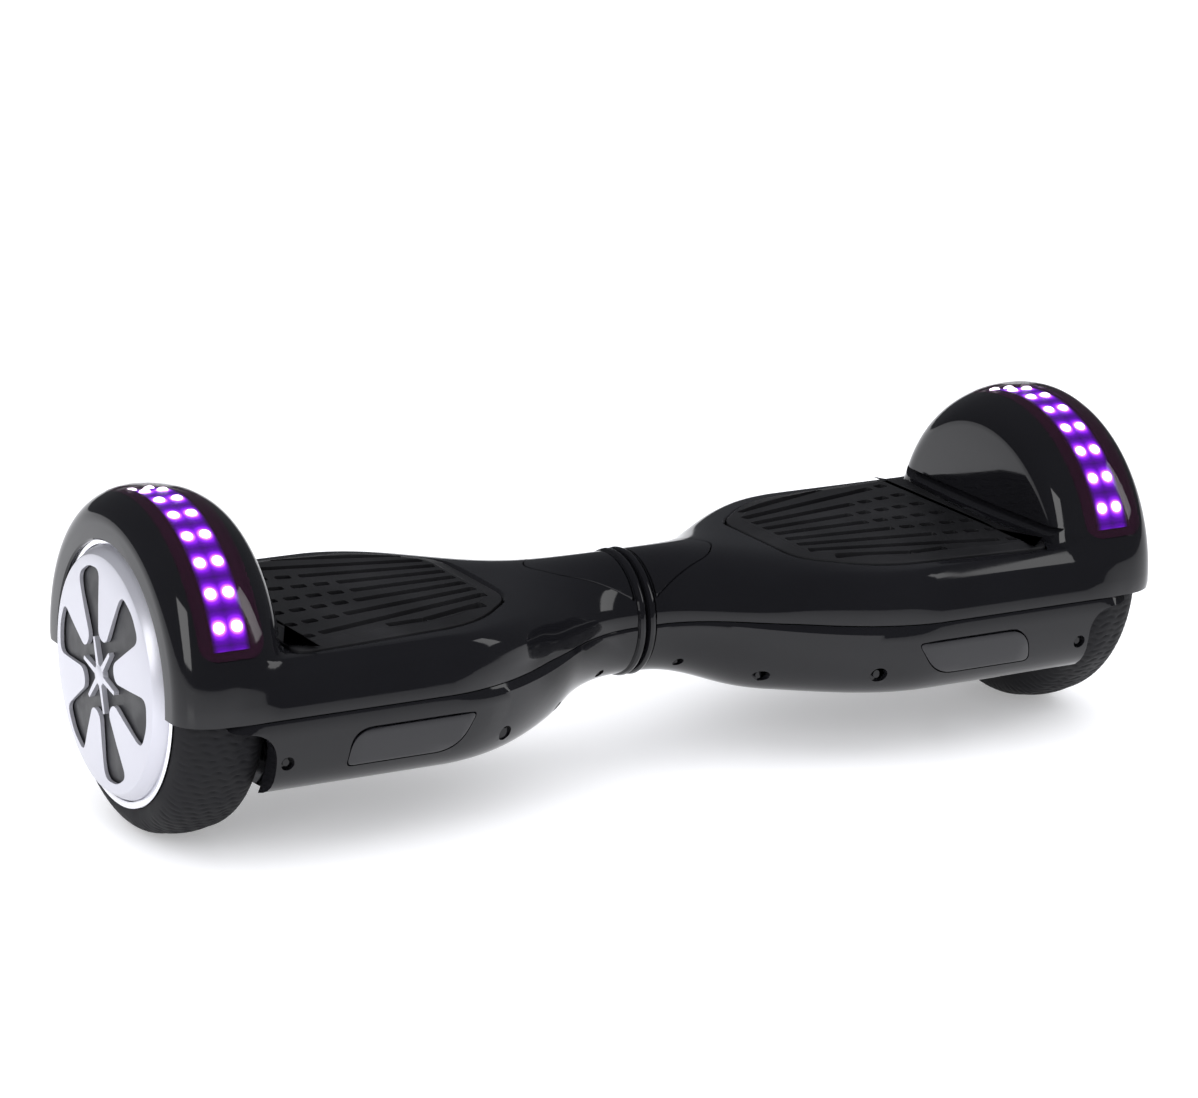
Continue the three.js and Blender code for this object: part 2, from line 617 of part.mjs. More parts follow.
// the drum that carries the tyre, closed by a web on the outside
function rim() {
  const [inner, outer] = [TYRE_INNER_X, TYRE_OUTER_X];
  const drum = TYRE_BEAD_RADIUS - RIM_WALL;
  const seat = BEARING_RADIUS + FIT_GAP;
  const bossX = RIM_WEB_X - BEARING_WIDTH;
  return turned([
    [inner, drum], [inner, RIM_LIP_RADIUS - 1], [inner + RIM_WEB, RIM_LIP_RADIUS - 2],
    [inner + RIM_WEB, TYRE_BEAD_RADIUS], [RIM_WEB_X, TYRE_BEAD_RADIUS],
    [RIM_WEB_X, RIM_LIP_RADIUS - 2], [outer, RIM_LIP_RADIUS - 1],
    [outer, seat], [bossX, seat], [bossX, seat + 4], [RIM_WEB_X - 1, seat + 4],
    [RIM_WEB_X - 1, drum], [inner, drum],
  ], AXLE_Z, WHEEL_SIDES);
}

function motorCover() {
  const x = TYRE_INNER_X - 0.8;
  const seat = BEARING_RADIUS + FIT_GAP;
  const drum = TYRE_BEAD_RADIUS - RIM_WALL - FIT_GAP;
  return turned([
    [x, seat], [x, drum], [x + 3, drum], [x + 3, seat + 4], [x + BEARING_WIDTH, seat + 4],
    [x + BEARING_WIDTH, seat], [x, seat],
  ], AXLE_Z, 28);
}

function stator() {
  const half = STATOR_WIDTH / 2;
  const outline = new THREE.Shape();
  const teeth = 12;
  for (let i = 0; i < teeth; i++) {
    const middle = i * 2 * Math.PI / teeth;
    for (const [radius, shift] of [[30, -0.12], [STATOR_RADIUS, -0.18], [STATOR_RADIUS, 0.18], [30, 0.12]]) {
      const angle = middle + shift;
      const [y, z] = [radius * Math.cos(angle), AXLE_Z + radius * Math.sin(angle)];
      if (i === 0 && shift === -0.12) outline.moveTo(y, z);
      else outline.lineTo(y, z);
    }
  }
  outline.closePath();
  const bore = barX(AXLE_RADIUS + FIT_GAP, WHEEL_MIDDLE_X - half - 1, WHEEL_MIDDLE_X + half + 1, AXLE_Z, 24);
  return cut(prismX(outline, WHEEL_MIDDLE_X - half, WHEEL_MIDDLE_X + half), bore);
}

function magnetRing() {
  const outer = TYRE_BEAD_RADIUS - RIM_WALL - FIT_GAP;
  return ringX(STATOR_RADIUS + 0.8, outer, WHEEL_MIDDLE_X - 14, WHEEL_MIDDLE_X + 14, AXLE_Z, 28);
}

const bearing = (x0) =>
  ringX(AXLE_RADIUS + FIT_GAP, BEARING_RADIUS, x0, x0 + BEARING_WIDTH - FIT_GAP, AXLE_Z, 24);

const axle = () => cut(
  barX(AXLE_RADIUS, AXLE_START_X, TYRE_OUTER_X - 1, AXLE_Z, 24),
  barX(3, AXLE_START_X - 1, TYRE_INNER_X + 8, AXLE_Z, 12));

const polar = (radius, degrees) => {
  const angle = radians(90 + degrees);
  return [radius * Math.cos(angle), AXLE_Z + radius * Math.sin(angle)];
};

// the opening in the silver cover: petals that meet round the centre, parted by tapering fingers
function petalWindow() {
  const corners = [];
  for (let i = 0; i < PETALS; i++) {
    const middle = WHEEL_REST_ANGLE + i * 360 / PETALS;
    corners.push([...polar(PETAL_TIP_RADIUS, middle - PETAL_TIP_HALF_ANGLE), 6]);
    corners.push([...polar(PETAL_TIP_RADIUS + 1.5, middle), 5]);
    corners.push([...polar(PETAL_TIP_RADIUS, middle + PETAL_TIP_HALF_ANGLE), 6]);
    corners.push([...polar(FINGER_TIP_RADIUS, middle + 180 / PETALS - 9), 2.5]);
    corners.push([...polar(FINGER_TIP_RADIUS, middle + 180 / PETALS + 9), 2.5]);
  }
  return roundedOutline(corners);
}

function hubCover() {
  const dome = turned([
    [FACE_X, 0], [FACE_X, RIM_LIP_RADIUS - 0.4], [FACE_X + 0.6, RIM_LIP_RADIUS - 1],
    [FACE_X + HUB_COVER_RISE * 0.9, HUB_FACE_RADIUS], [COVER_X, HUB_FACE_RADIUS * 0.7], [COVER_X + 1.2, 0],
  ], AXLE_Z, 28);
  const inside = turned([
    [FACE_X - 1, 0], [FACE_X - 1, HUB_FACE_RADIUS + 2], [COVER_X - HUB_RECESS, HUB_FACE_RADIUS],
    [COVER_X - HUB_RECESS, 0],
  ], AXLE_Z, 28);
  return cut(dome, inside, prismX(petalWindow(), FACE_X - 1, COVER_X + 5, 3));
}

const hubPanel = () =>
  barX(HUB_FACE_RADIUS - 0.6, FACE_X, COVER_X - HUB_RECESS - FIT_GAP, AXLE_Z, 28);

function hubStar() {
  const outline = new THREE.Shape();
  const between = 180 / PETALS;
  for (let i = 0; i < PETALS; i++) {
    const middle = WHEEL_REST_ANGLE + i * 360 / PETALS;
    const points = [
      polar(STAR_HUB_RADIUS, middle - between / 2), polar(STAR_ARM_RADIUS, middle - 3),
      polar(STAR_ARM_RADIUS, middle + 3), polar(STAR_HUB_RADIUS, middle + between / 2),
    ];
    points.forEach(([y, z], j) => (i + j === 0 ? outline.moveTo(y, z) : outline.lineTo(y, z)));
  }
  outline.closePath();
  return prismX(outline, COVER_X - HUB_RECESS, COVER_X + 0.8);
}

// ---------------------------------------------------------------- pivot

function pivotTube() {
  const slot = STOP_PIN_RADIUS + PIN_CLEARANCE + (TUBE_RADIUS + 1) * Math.sin(radians(PIVOT_LIMIT));
  const reach = STOP_PIN_RADIUS + PIN_CLEARANCE;
  return cut(
    ringX(TUBE_BORE, TUBE_RADIUS, -TUBE_HALF_LENGTH, TUBE_END_X, PIVOT_Z, 28),
    box(STOP_PIN_X - reach, STOP_PIN_X + reach, -slot, slot, PIVOT_Z + TUBE_BORE - 4, PIVOT_Z + 20));
}

// ---------------------------------------------------------------- the whole board

const board = new THREE.Group();

const finish = (color, roughness, metalness = 0) => () =>
  new THREE.MeshStandardMaterial({ color, roughness, metalness });
const glossBlack = finish(0x0b0b0d, 0.12);
const padRubber = finish(0x1c1c1e, 0.75);
const tyreRubber = finish(0x161616, 0.85);
const smokedLens = finish(0x2a1030, 0.08);
const castAluminium = finish(0x9fa2a6, 0.5, 0.9);
const satinSilver = finish(0xc9c8d2, 0.3, 0.9);
const steel = finish(0x84868a, 0.35, 0.9);
const charcoal = finish(0x262628, 0.5);
const circuitBoard = finish(0x12462a, 0.5);
const copperWinding = finish(0x9c5a2c, 0.45, 0.7);
const magnetGrey = finish(0x4a4c50, 0.4, 0.8);
const batteryBlue = finish(0x1d3f7a, 0.5);
const softBlack = finish(0x0f0f10, 0.6);

function place(name, body, material) {
  const mesh = new THREE.Mesh(geometryOf(body), material());
  mesh.name = name;
  board.add(mesh);
  return mesh;
}

function placeBothSides(name, body, material) {
  const geometry = geometryOf(body);
  for (const [side, shape] of [['left', mirrored(geometry)], ['right', geometry]]) {
    const mesh = new THREE.Mesh(shape, material());
    mesh.name = `${side}_${name}`;
    board.add(mesh);
  }
}

function placeLeft(name, body, material) {
  const mesh = new THREE.Mesh(mirrored(geometryOf(body)), material());
  mesh.name = name;
  board.add(mesh);
}

placeBothSides('upper_shell', upperShell(), glossBlack);
placeLeft('left_lower_shell', lowerShell(), glossBlack);
place('right_lower_shell', cut(lowerShell(), portHoles), glossBlack);
placeBothSides('neck_panel', neckPanel(), glossBlack);
placeBothSides('footpad', footpad(), padRubber);
placeBothSides('fender_lens', fenderLens(), smokedLens);
placeBothSides('fender_led_board', ledBoard(), circuitBoard);
placeBothSides('headlight_lens', headlightLens(), smokedLens);
placeBothSides('headlight_board', headlightBoard(), circuitBoard);
placeBothSides('sensor_board', sensorBoard(), circuitBoard);

placeLeft('left_chassis', chassis(TUBE_RADIUS + FIT_GAP), castAluminium);
const pinHole = barZ(STOP_PIN_RADIUS + FIT_GAP, STOP_PIN_X, 0, PIVOT_Z, PIVOT_Z + BOSS_RADIUS + 5);
place('right_chassis', cut(chassis(BUSH_RADIUS + FIT_GAP), pinHole), castAluminium);
placeBothSides('axle_clamp', axleClamp(), castAluminium);
placeBothSides('motor_axle', axle(), steel);
placeBothSides('motor_stator', stator(), copperWinding);

placeBothSides('tyre', tyre(), tyreRubber);
placeBothSides('rim', rim(), satinSilver);
placeBothSides('magnet_ring', magnetRing(), magnetGrey);
placeBothSides('motor_cover', motorCover(), castAluminium);
placeBothSides('inner_bearing', bearing(TYRE_INNER_X - 0.8), steel);
placeBothSides('outer_bearing', bearing(RIM_WEB_X - BEARING_WIDTH + FIT_GAP), steel);
placeBothSides('hub_panel', hubPanel(), charcoal);
placeBothSides('hub_cover', hubCover(), satinSilver);
placeBothSides('hub_star', hubStar(), satinSilver);

const collar = ringX(BOSS_RADIUS + 3, COLLAR_RADIUS, COLLAR_START_X, COLLAR_END_X, PIVOT_Z, 28);
placeBothSides('pivot_collar', collar, glossBlack);
place('pivot_tube', pivotTube(), steel);
const bush = (x) => ringX(TUBE_RADIUS + FIT_GAP, BUSH_RADIUS, x, x + BUSH_LENGTH, PIVOT_Z);
place('inner_bush', bush(BOSS_START_X), softBlack);
place('outer_bush', bush(BOSS_END_X), softBlack);
const stopPin = barZ(STOP_PIN_RADIUS, STOP_PIN_X, 0, PIVOT_Z + TUBE_BORE + 1, PIVOT_Z + BOSS_RADIUS);
place('stop_pin', stopPin, steel);
const ringStart = BOSS_END_X + BUSH_LENGTH + 2;
const retainer = ringX(TUBE_RADIUS + FIT_GAP, RETAINER_RADIUS, ringStart, ringStart + 3, PIVOT_Z);
place('retaining_ring', retainer, steel);

const [batteryLength, batteryDepth, batteryHeight] = BATTERY_SIZE;
const batteryBottom = BELLY_Z + SHELL_WALL + 2;
placeLeft('battery_pack', prismZ(roundedOutline([
  [BATTERY_X - batteryLength / 2, -batteryDepth / 2, 6], [BATTERY_X + batteryLength / 2, -batteryDepth / 2, 6],
  [BATTERY_X + batteryLength / 2, batteryDepth / 2, 6], [BATTERY_X - batteryLength / 2, batteryDepth / 2, 6],
]), batteryBottom, batteryBottom + batteryHeight, 3), batteryBlue);

const [boardLength, boardDepth, boardThickness] = MAIN_BOARD_SIZE;
const boardZ = FRAME_PLATE_Z - 16;
const boardEnds = [MAIN_BOARD_X - boardLength / 2, MAIN_BOARD_X + boardLength / 2];
place('main_board', join(
  box(...boardEnds, -boardDepth / 2, boardDepth / 2, boardZ, boardZ + boardThickness),
  box(MAIN_BOARD_X - 40, MAIN_BOARD_X - 10, -20, 20, boardZ - 14, boardZ + 1),
  barZ(8, MAIN_BOARD_X + 20, -16, boardZ - 20, boardZ + 1),
  barZ(8, MAIN_BOARD_X + 20, 16, boardZ - 20, boardZ + 1)), circuitBoard);

const socketY = BODY_HALF_DEPTH + 0.1;
place('charge_socket', cut(
  join(
    barY(SOCKET_FLANGE_RADIUS, SOCKET_X, PORT_Z, socketY - 3.6, socketY),
    barY(SOCKET_RADIUS, SOCKET_X, PORT_Z, socketY - 20, socketY - 1)),
  barY(SOCKET_RADIUS - 2, SOCKET_X, PORT_Z, socketY - 12, FAR)), steel);
const capY = socketY + FIT_GAP;
place('charge_cap', join(
  barY(SOCKET_FLANGE_RADIUS - 0.5, SOCKET_X, PORT_Z, capY, capY + CAP_THICKNESS),
  box(SOCKET_X, SOCKET_X + CAP_HINGE_REACH, capY, capY + CAP_THICKNESS, PORT_Z - 3, PORT_Z + 3)), softBlack);
place('power_button', barY(
  BUTTON_RADIUS, BUTTON_X, PORT_Z, BODY_HALF_DEPTH - 9, BODY_HALF_DEPTH + BUTTON_TRAVEL + FIT_GAP), softBlack);

const harnessRoute = new THREE.CatmullRomCurve3([
  [-84, 0, PIVOT_Z - 2], [-70, 0, PIVOT_Z], [-30, 0, PIVOT_Z],
  [30, 0, PIVOT_Z], [76, 0, PIVOT_Z], [86, 0, PIVOT_Z - 2],
].map((point) => new THREE.Vector3(...point)));
const wireSection = new THREE.Shape();
wireSection.absarc(0, 0, HARNESS_RADIUS, 0, 2 * Math.PI);
const harness = solid(new THREE.ExtrudeGeometry(wireSection, {
  steps: 10, bevelEnabled: false, extrudePath: harnessRoute, curveSegments: 4,
}));
place('pivot_harness', harness, softBlack);

export default board;
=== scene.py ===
# %% [markdown]
# # A self balancing hoverboard
# The board is two gloss black halves that twist on a hidden tube, a hub-motor wheel at each end under a
# round fender, a ribbed rubber footpad on each half, and a strip of violet lights under each fender's
# smoked lens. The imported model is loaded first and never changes: it gives every piece its place, and the
# pieces made here ride on its bodies.

# %% Load the frame
import json
import math

import bpy
from mathutils import Matrix, Vector


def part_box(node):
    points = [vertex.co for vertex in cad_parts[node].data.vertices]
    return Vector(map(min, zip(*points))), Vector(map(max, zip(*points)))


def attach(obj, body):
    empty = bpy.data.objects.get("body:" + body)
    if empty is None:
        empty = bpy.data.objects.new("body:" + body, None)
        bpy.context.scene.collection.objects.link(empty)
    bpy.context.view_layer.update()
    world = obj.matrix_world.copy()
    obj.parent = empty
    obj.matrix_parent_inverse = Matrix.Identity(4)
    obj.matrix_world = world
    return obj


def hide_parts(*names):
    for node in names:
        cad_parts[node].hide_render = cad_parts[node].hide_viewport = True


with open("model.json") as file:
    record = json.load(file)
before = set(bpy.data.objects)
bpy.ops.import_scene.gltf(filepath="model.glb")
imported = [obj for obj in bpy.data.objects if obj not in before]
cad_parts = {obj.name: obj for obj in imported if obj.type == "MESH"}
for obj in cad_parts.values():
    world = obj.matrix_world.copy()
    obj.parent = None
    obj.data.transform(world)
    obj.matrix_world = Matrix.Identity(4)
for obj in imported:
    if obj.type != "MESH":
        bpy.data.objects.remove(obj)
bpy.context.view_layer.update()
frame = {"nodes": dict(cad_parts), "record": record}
bpy.ops.object.select_all(action="DESELECT")

# %% [markdown]
# ## Measures
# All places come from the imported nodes. They are turned into millimetres once, because a board like this is
# drawn in millimetres, and every mesh is scaled to metres as it is made.

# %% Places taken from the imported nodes
MM = 0.001


def span(node, axis):
    """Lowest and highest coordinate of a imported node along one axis, in millimetres."""
    low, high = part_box(node)
    return low[axis] / MM, high[axis] / MM


TYRE_INNER, TYRE_OUTER = span("right_tyre", 0)
AXLE_Z = sum(span("right_tyre", 2)) / 2
TYRE_RADIUS = (span("right_tyre", 2)[1] - span("right_tyre", 2)[0]) / 2
BODY_START, BODY_END = span("right_upper_shell", 0)
HALF_DEPTH = span("right_lower_shell", 1)[1]
FENDER_RADIUS = span("right_fender_lens", 2)[1] - AXLE_Z
BELLY_Z = span("right_lower_shell", 2)[0]
LENS_START, LENS_END = span("right_fender_lens", 0)
PAD_START, PAD_END = span("right_footpad", 0)
PAD_HALF = span("right_footpad", 1)[1]
PAD_TOP = span("right_footpad", 2)[1]
COLLAR_START, COLLAR_END = span("right_pivot_collar", 0)
COLLAR_RADIUS = (span("right_pivot_collar", 2)[1] - span("right_pivot_collar", 2)[0]) / 2
PIVOT_Z = sum(span("right_pivot_collar", 2)) / 2
COVER_TOP = span("right_hub_cover", 0)[1]
SEAM_Z, WALL = 80.0, 2.6
PAD_PROUD, COLLAR_PROUD = 2.6, 1.3
FENDER_SETBACK, CREST_SHARE = 9.5, 0.585
DECK_Z = PAD_TOP - PAD_PROUD
NECK_RADIUS = COLLAR_RADIUS - COLLAR_PROUD
FENDER_WALL = TYRE_INNER - FENDER_SETBACK
FENDER_CREST = TYRE_INNER + CREST_SHARE * (TYRE_OUTER - TYRE_INNER)
print("fender radius", round(FENDER_RADIUS, 2), "deck", DECK_Z, "body", round(BODY_START, 1),
    round(BODY_END, 1))

# %% [markdown]
# ## Camera, light and floor
# The board is seen from its left front, a little above the deck, through a long lens that hardly tapers it.
# Gloss black shows nothing but what it reflects, so the room is dark above, and the floor is bright: the
# deck and the upper band then go nearly black, and the underside turns slate grey, as on a white studio
# table.

# %% Camera
AZIMUTH, ELEVATION, ROLL = math.radians(-30.05), math.radians(16.01), math.radians(1.54)
LENS_MM, DISTANCE = 122.54, 2.154
AIM = Vector((-0.0118, 0, 0.1152))

toward_camera = Vector((
    math.sin(AZIMUTH) * math.cos(ELEVATION), -math.cos(AZIMUTH) * math.cos(ELEVATION), math.sin(ELEVATION)))
level_right = Vector((math.cos(AZIMUTH), math.sin(AZIMUTH), 0))
level_up = toward_camera.cross(level_right)
camera_right = level_right * math.cos(ROLL) + level_up * math.sin(ROLL)
camera_up = level_up * math.cos(ROLL) - level_right * math.sin(ROLL)
camera_data = bpy.data.cameras.new("camera")
camera_data.sensor_width = 36
camera_data.lens = LENS_MM
camera = bpy.data.objects.new("camera", camera_data)
bpy.context.scene.collection.objects.link(camera)
turn = Matrix((camera_right, camera_up, toward_camera)).transposed()
camera.matrix_world = Matrix.Translation(AIM + toward_camera * DISTANCE) @ turn.to_4x4()
bpy.context.scene.camera = camera
bpy.context.scene.view_settings.view_transform = "Standard"


# %% Lights
def softbox(name, place, aim, size, power):
    """A rectangular lamp that looks from place to aim, sizes in metres."""
    lamp_data = bpy.data.lights.new(name, "AREA")
    lamp_data.shape = "RECTANGLE"
    lamp_data.size, lamp_data.size_y = size
    lamp_data.energy = power
    lamp = bpy.data.objects.new(name, lamp_data)
    bpy.context.scene.collection.objects.link(lamp)
    lamp.location = place
    lamp.rotation_euler = (Vector(aim) - Vector(place)).to_track_quat("-Z", "Y").to_euler()
    return lamp


softbox("left_box", (-1.9, -1.0, 1.0), (-0.25, 0, 0.1), (0.7, 1.3), 13)
softbox("right_box", (1.7, -0.9, 1.2), (0.2, 0, 0.1), (0.5, 1.1), 5)

sky_data = bpy.data.lights.new("ceiling", "SUN")
sky_data.energy, sky_data.angle = 1.3, math.radians(110)
ceiling = bpy.data.objects.new("ceiling", sky_data)
bpy.context.scene.collection.objects.link(ceiling)
ceiling.rotation_euler = (math.radians(-12), math.radians(10), 0)
ceiling.visible_glossy = False


# %% Shader maths as expressions
class Wire:
    """One value that runs between shader nodes; sums and products of wires add Math nodes."""

    def __init__(self, finish, socket):
        self.finish, self.socket = finish, socket

    def _math(self, operation, first, second):
        return self.finish.node("Math", {"operation": operation}, {0: first, 1: second})

    def __add__(self, other):
        return self._math("ADD", self, other)

    def __sub__(self, other):
        return self._math("SUBTRACT", self, other)

    def __rsub__(self, other):
        return self._math("SUBTRACT", other, self)

    def __mul__(self, other):
        return self._math("MULTIPLY", self, other)

    def __truediv__(self, other):
        return self._math("DIVIDE", self, other)

    def __pow__(self, other):
        return self._math("POWER", self, other)

    def __mod__(self, other):
        return self._math("FLOORED_MODULO", self, other)

    def apply(self, operation, other=0.0):
        return self._math(operation, self, other)

    __radd__, __rmul__ = __add__, __mul__


class Finish:
    """A named finish: one principled shader, its fixed sockets, and the nodes that vary it."""

    def __init__(self, name, **fixed):
        self.material = bpy.data.materials.new(name)
        self.material.use_nodes = True
        self.tree = self.material.node_tree
        self.tree.nodes.clear()
        self.shader = self.tree.nodes.new("ShaderNodeBsdfPrincipled")
        output = self.tree.nodes.new("ShaderNodeOutputMaterial")
        self.tree.links.new(self.shader.outputs[0], output.inputs["Surface"])
        for socket, value in fixed.items():
            self.shader.inputs[socket.replace("_", " ")].default_value = value
        self.place = self.node("TexCoord", output="Object")

    def node(self, kind, settings=None, inputs=None, output=0):
        made = self.tree.nodes.new("ShaderNode" + kind)
        for key, value in (settings or {}).items():
            if key == "stops":
                ramp = made.color_ramp
                while len(ramp.elements) < len(value):
                    ramp.elements.new(0.5)
                for element, (position, colour) in zip(ramp.elements, value):
                    element.position = position
                    element.color = (*colour, 1.0)
            else:
                setattr(made, key, value)
        for socket, value in (inputs or {}).items():
            self.feed(made.inputs[socket], value)
        return Wire(self, made.outputs[output])

    def feed(self, socket, value):
        if isinstance(value, Wire):
            self.tree.links.new(value.socket, socket)
        else:
            socket.default_value = (*value, 1.0) if socket.type == "RGBA" and len(value) == 3 else value

    def noise(self, scale, detail=3.0, place=None):
        return self.node("TexNoise", {}, {"Vector": place or self.place, "Scale": scale, "Detail": detail})

    def blend(self, share, first, second):
        """A colour between two others."""
        return self.node("Mix", {"data_type": "RGBA"}, {0: share, 6: first, 7: second}, output=2)

    def ramp(self, value, stops):
        return self.node("ValToRGB", {"stops": stops}, {0: value})

    def window(self, value, low, high, to_low=0.0, to_high=1.0):
        """Rescales a value, kept between its two ends."""
        return self.node("MapRange", {"clamp": True}, {0: value, 1: low, 2: high, 3: to_low, 4: to_high})

    def mottled(self, colour_scale, dark, light, rough_scale, smooth, rough):
        """Colour and roughness that each wander between two ends."""
        self.colour(self.blend(self.noise(colour_scale), dark, light))
        self.roughness(self.window(self.noise(rough_scale), 0.3, 0.7, smooth, rough))

    def xyz(self):
        """The three object coordinates, in metres."""
        parts = self.tree.nodes.new("ShaderNodeSeparateXYZ")
        self.tree.links.new(self.place.socket, parts.inputs[0])
        return [Wire(self, parts.outputs[i]) for i in range(3)]

    def colour(self, value):
        self.feed(self.shader.inputs["Base Color"], value)
        return self

    def roughness(self, value):
        self.feed(self.shader.inputs["Roughness"], value)
        return self

    def relief(self, height, depth_mm, strength=1.0):
        """Bumps of a depth in millimetres, from a height between 0 and 1."""
        bump = self.node("Bump", {}, {"Strength": strength, "Distance": depth_mm * MM, "Height": height})
        self.feed(self.shader.inputs["Normal"], bump)
        return self


# %% [markdown]
# ## Floor and room
# The floor is a pale, slightly polished table, so that the board stands in a soft shadow with a faint
# reflection. A little glow of its own keeps that shadow pale. The room is white to look at and dark to
# reflect, as when black flags stand round a product in a studio.

# %% Floor and room
bpy.ops.mesh.primitive_plane_add(size=60)
floor = bpy.context.object
floor.name = "floor"
floor_finish = Finish("floor_white", Specular_IOR_Level=0.25, Emission_Strength=0.3)
floor_finish.mottled(3.0, (0.90, 0.90, 0.915), (0.92, 0.92, 0.93), 9.0, 0.16, 0.2)
floor.data.materials.append(floor_finish.material)

room = bpy.data.worlds.new("room")
bpy.context.scene.world = room
room.use_nodes = True
room_tree = room.node_tree
room_tree.nodes.clear()
seen_directly = room_tree.nodes.new("ShaderNodeLightPath")


def backdrop(colour, strength):
    made = room_tree.nodes.new("ShaderNodeBackground")
    made.inputs["Color"].default_value = colour
    made.inputs["Strength"].default_value = strength
    return made


white_wall = backdrop((0.97, 0.97, 1.0, 1), 1.35)
fill_light = backdrop((0.95, 0.96, 1.0, 1), 1.15)
dark_flags = backdrop((0.9, 0.93, 1.0, 1), 0.1)
mirror_or_fill = room_tree.nodes.new("ShaderNodeMixShader")
wall_or_light = room_tree.nodes.new("ShaderNodeMixShader")
room_output = room_tree.nodes.new("ShaderNodeOutputWorld")
room_tree.links.new(seen_directly.outputs["Is Glossy Ray"], mirror_or_fill.inputs[0])
room_tree.links.new(fill_light.outputs[0], mirror_or_fill.inputs[1])
room_tree.links.new(dark_flags.outputs[0], mirror_or_fill.inputs[2])
room_tree.links.new(seen_directly.outputs["Is Camera Ray"], wall_or_light.inputs[0])
room_tree.links.new(mirror_or_fill.outputs[0], wall_or_light.inputs[1])
room_tree.links.new(white_wall.outputs[0], wall_or_light.inputs[2])
room_tree.links.new(wall_or_light.outputs[0], room_output.inputs["Surface"])

# %% [markdown]
# ## Finishes
# Every finish is made of noise, waves and the piece's own coordinates, so that it needs no pictures.

# %% Gloss black, and its lens and trim relatives
gloss_black = Finish("gloss_black", Specular_IOR_Level=0.32)
gloss_black.colour(gloss_black.blend(gloss_black.noise(14.0), (0.0045, 0.0045, 0.0055),
    (0.008, 0.008, 0.0095)))
haze = gloss_black.noise(55.0, 6.0)
gloss_black.roughness(gloss_black.window(haze, 0.35, 0.75, 0.045, 0.10))
gloss_black.relief(gloss_black.noise(9.0, 1.0), 0.25, 0.18)

soft_black = Finish("soft_black", Specular_IOR_Level=0.4)
soft_black.mottled(60.0, (0.010, 0.010, 0.011), (0.020, 0.020, 0.022), 240.0, 0.42, 0.6)
soft_black.relief(soft_black.noise(1400.0), 0.05, 0.5)

lens_smoke = Finish("lens_smoke", Coat_Weight=0.35, Coat_Roughness=0.02, Specular_IOR_Level=0.5)
lens_smoke.mottled(18.0, (0.016, 0.004, 0.010), (0.026, 0.008, 0.020), 40.0, 0.03, 0.07)
lens_smoke.feed(lens_smoke.shader.inputs["Alpha"],
    lens_smoke.window(lens_smoke.noise(25.0), 0.3, 0.7, 0.50, 0.56))

headlight_smoke = Finish("headlight_smoke", Specular_IOR_Level=0.42)
headlight_smoke.mottled(30.0, (0.007, 0.007, 0.009), (0.012, 0.012, 0.014), 60.0, 0.10, 0.16)

# %% Rubber of the footpads and the tyres
pad_rubber = Finish("pad_rubber", Specular_IOR_Level=0.4)
worn = pad_rubber.noise(26.0, 5.0)
pad_rubber.colour(pad_rubber.ramp(worn, [(0.30, (0.008, 0.008, 0.009)), (0.72, (0.017, 0.017, 0.019))]))
pad_rubber.roughness(pad_rubber.window(worn, 0.3, 0.7, 0.40, 0.56))
pad_grain = pad_rubber.node("TexVoronoi", {}, {"Vector": pad_rubber.place, "Scale": 1500.0})
pad_rubber.relief(pad_grain, 0.06, 0.5)

tyre_rubber = Finish("tyre_rubber", Specular_IOR_Level=0.18)
dusty = tyre_rubber.noise(38.0, 6.0)
tyre_rubber.colour(tyre_rubber.ramp(dusty, [(0.30, (0.005, 0.005, 0.006)), (0.75, (0.012, 0.012, 0.014))]))
tyre_rubber.roughness(tyre_rubber.window(dusty, 0.3, 0.7, 0.55, 0.78))
tyre_rubber.relief(tyre_rubber.noise(1800.0, 2.0), 0.08, 0.6)

# %% Metals
hub_silver = Finish("hub_silver", Metallic=0.55, Coat_Weight=0.25, Coat_Roughness=0.08)
flakes = hub_silver.node("TexVoronoi", {}, {"Vector": hub_silver.place, "Scale": 2600.0})
hub_silver.colour(hub_silver.blend(hub_silver.noise(20.0), (0.50, 0.50, 0.55), (0.56, 0.56, 0.61)))
hub_silver.roughness(hub_silver.window(flakes, 0.0, 1.0, 0.30, 0.42))
hub_silver.relief(flakes, 0.02, 0.25)

lip_silver = Finish("lip_silver", Metallic=1.0)
rings = lip_silver.noise(220.0, 4.0)
lip_silver.colour(lip_silver.blend(rings, (0.80, 0.80, 0.84), (0.90, 0.90, 0.94)))
lip_silver.roughness(lip_silver.window(rings, 0.3, 0.7, 0.10, 0.2))

hub_charcoal = Finish("hub_charcoal", Specular_IOR_Level=0.4)
hub_charcoal.mottled(40.0, (0.012, 0.012, 0.014), (0.019, 0.019, 0.021), 90.0, 0.36, 0.5)
hub_charcoal.relief(hub_charcoal.noise(1200.0), 0.05, 0.5)

cast_metal = Finish("cast_metal", Metallic=0.9)
sand = cast_metal.noise(700.0, 5.0)
cast_metal.colour(cast_metal.blend(sand, (0.34, 0.35, 0.36), (0.52, 0.53, 0.54)))
cast_metal.roughness(cast_metal.window(sand, 0.3, 0.7, 0.42, 0.62))
cast_metal.relief(sand, 0.15, 0.6)

turned_steel = Finish("turned_steel", Metallic=1.0)
along, _, _ = turned_steel.xyz()
tool_marks = (along * 9000.0).apply("SINE")
turned_steel.colour(turned_steel.blend(turned_steel.noise(60.0), (0.40, 0.41, 0.42), (0.52, 0.53, 0.55)))
turned_steel.roughness(turned_steel.window(tool_marks, -1.0, 1.0, 0.22, 0.36))
turned_steel.relief(tool_marks, 0.01, 0.4)

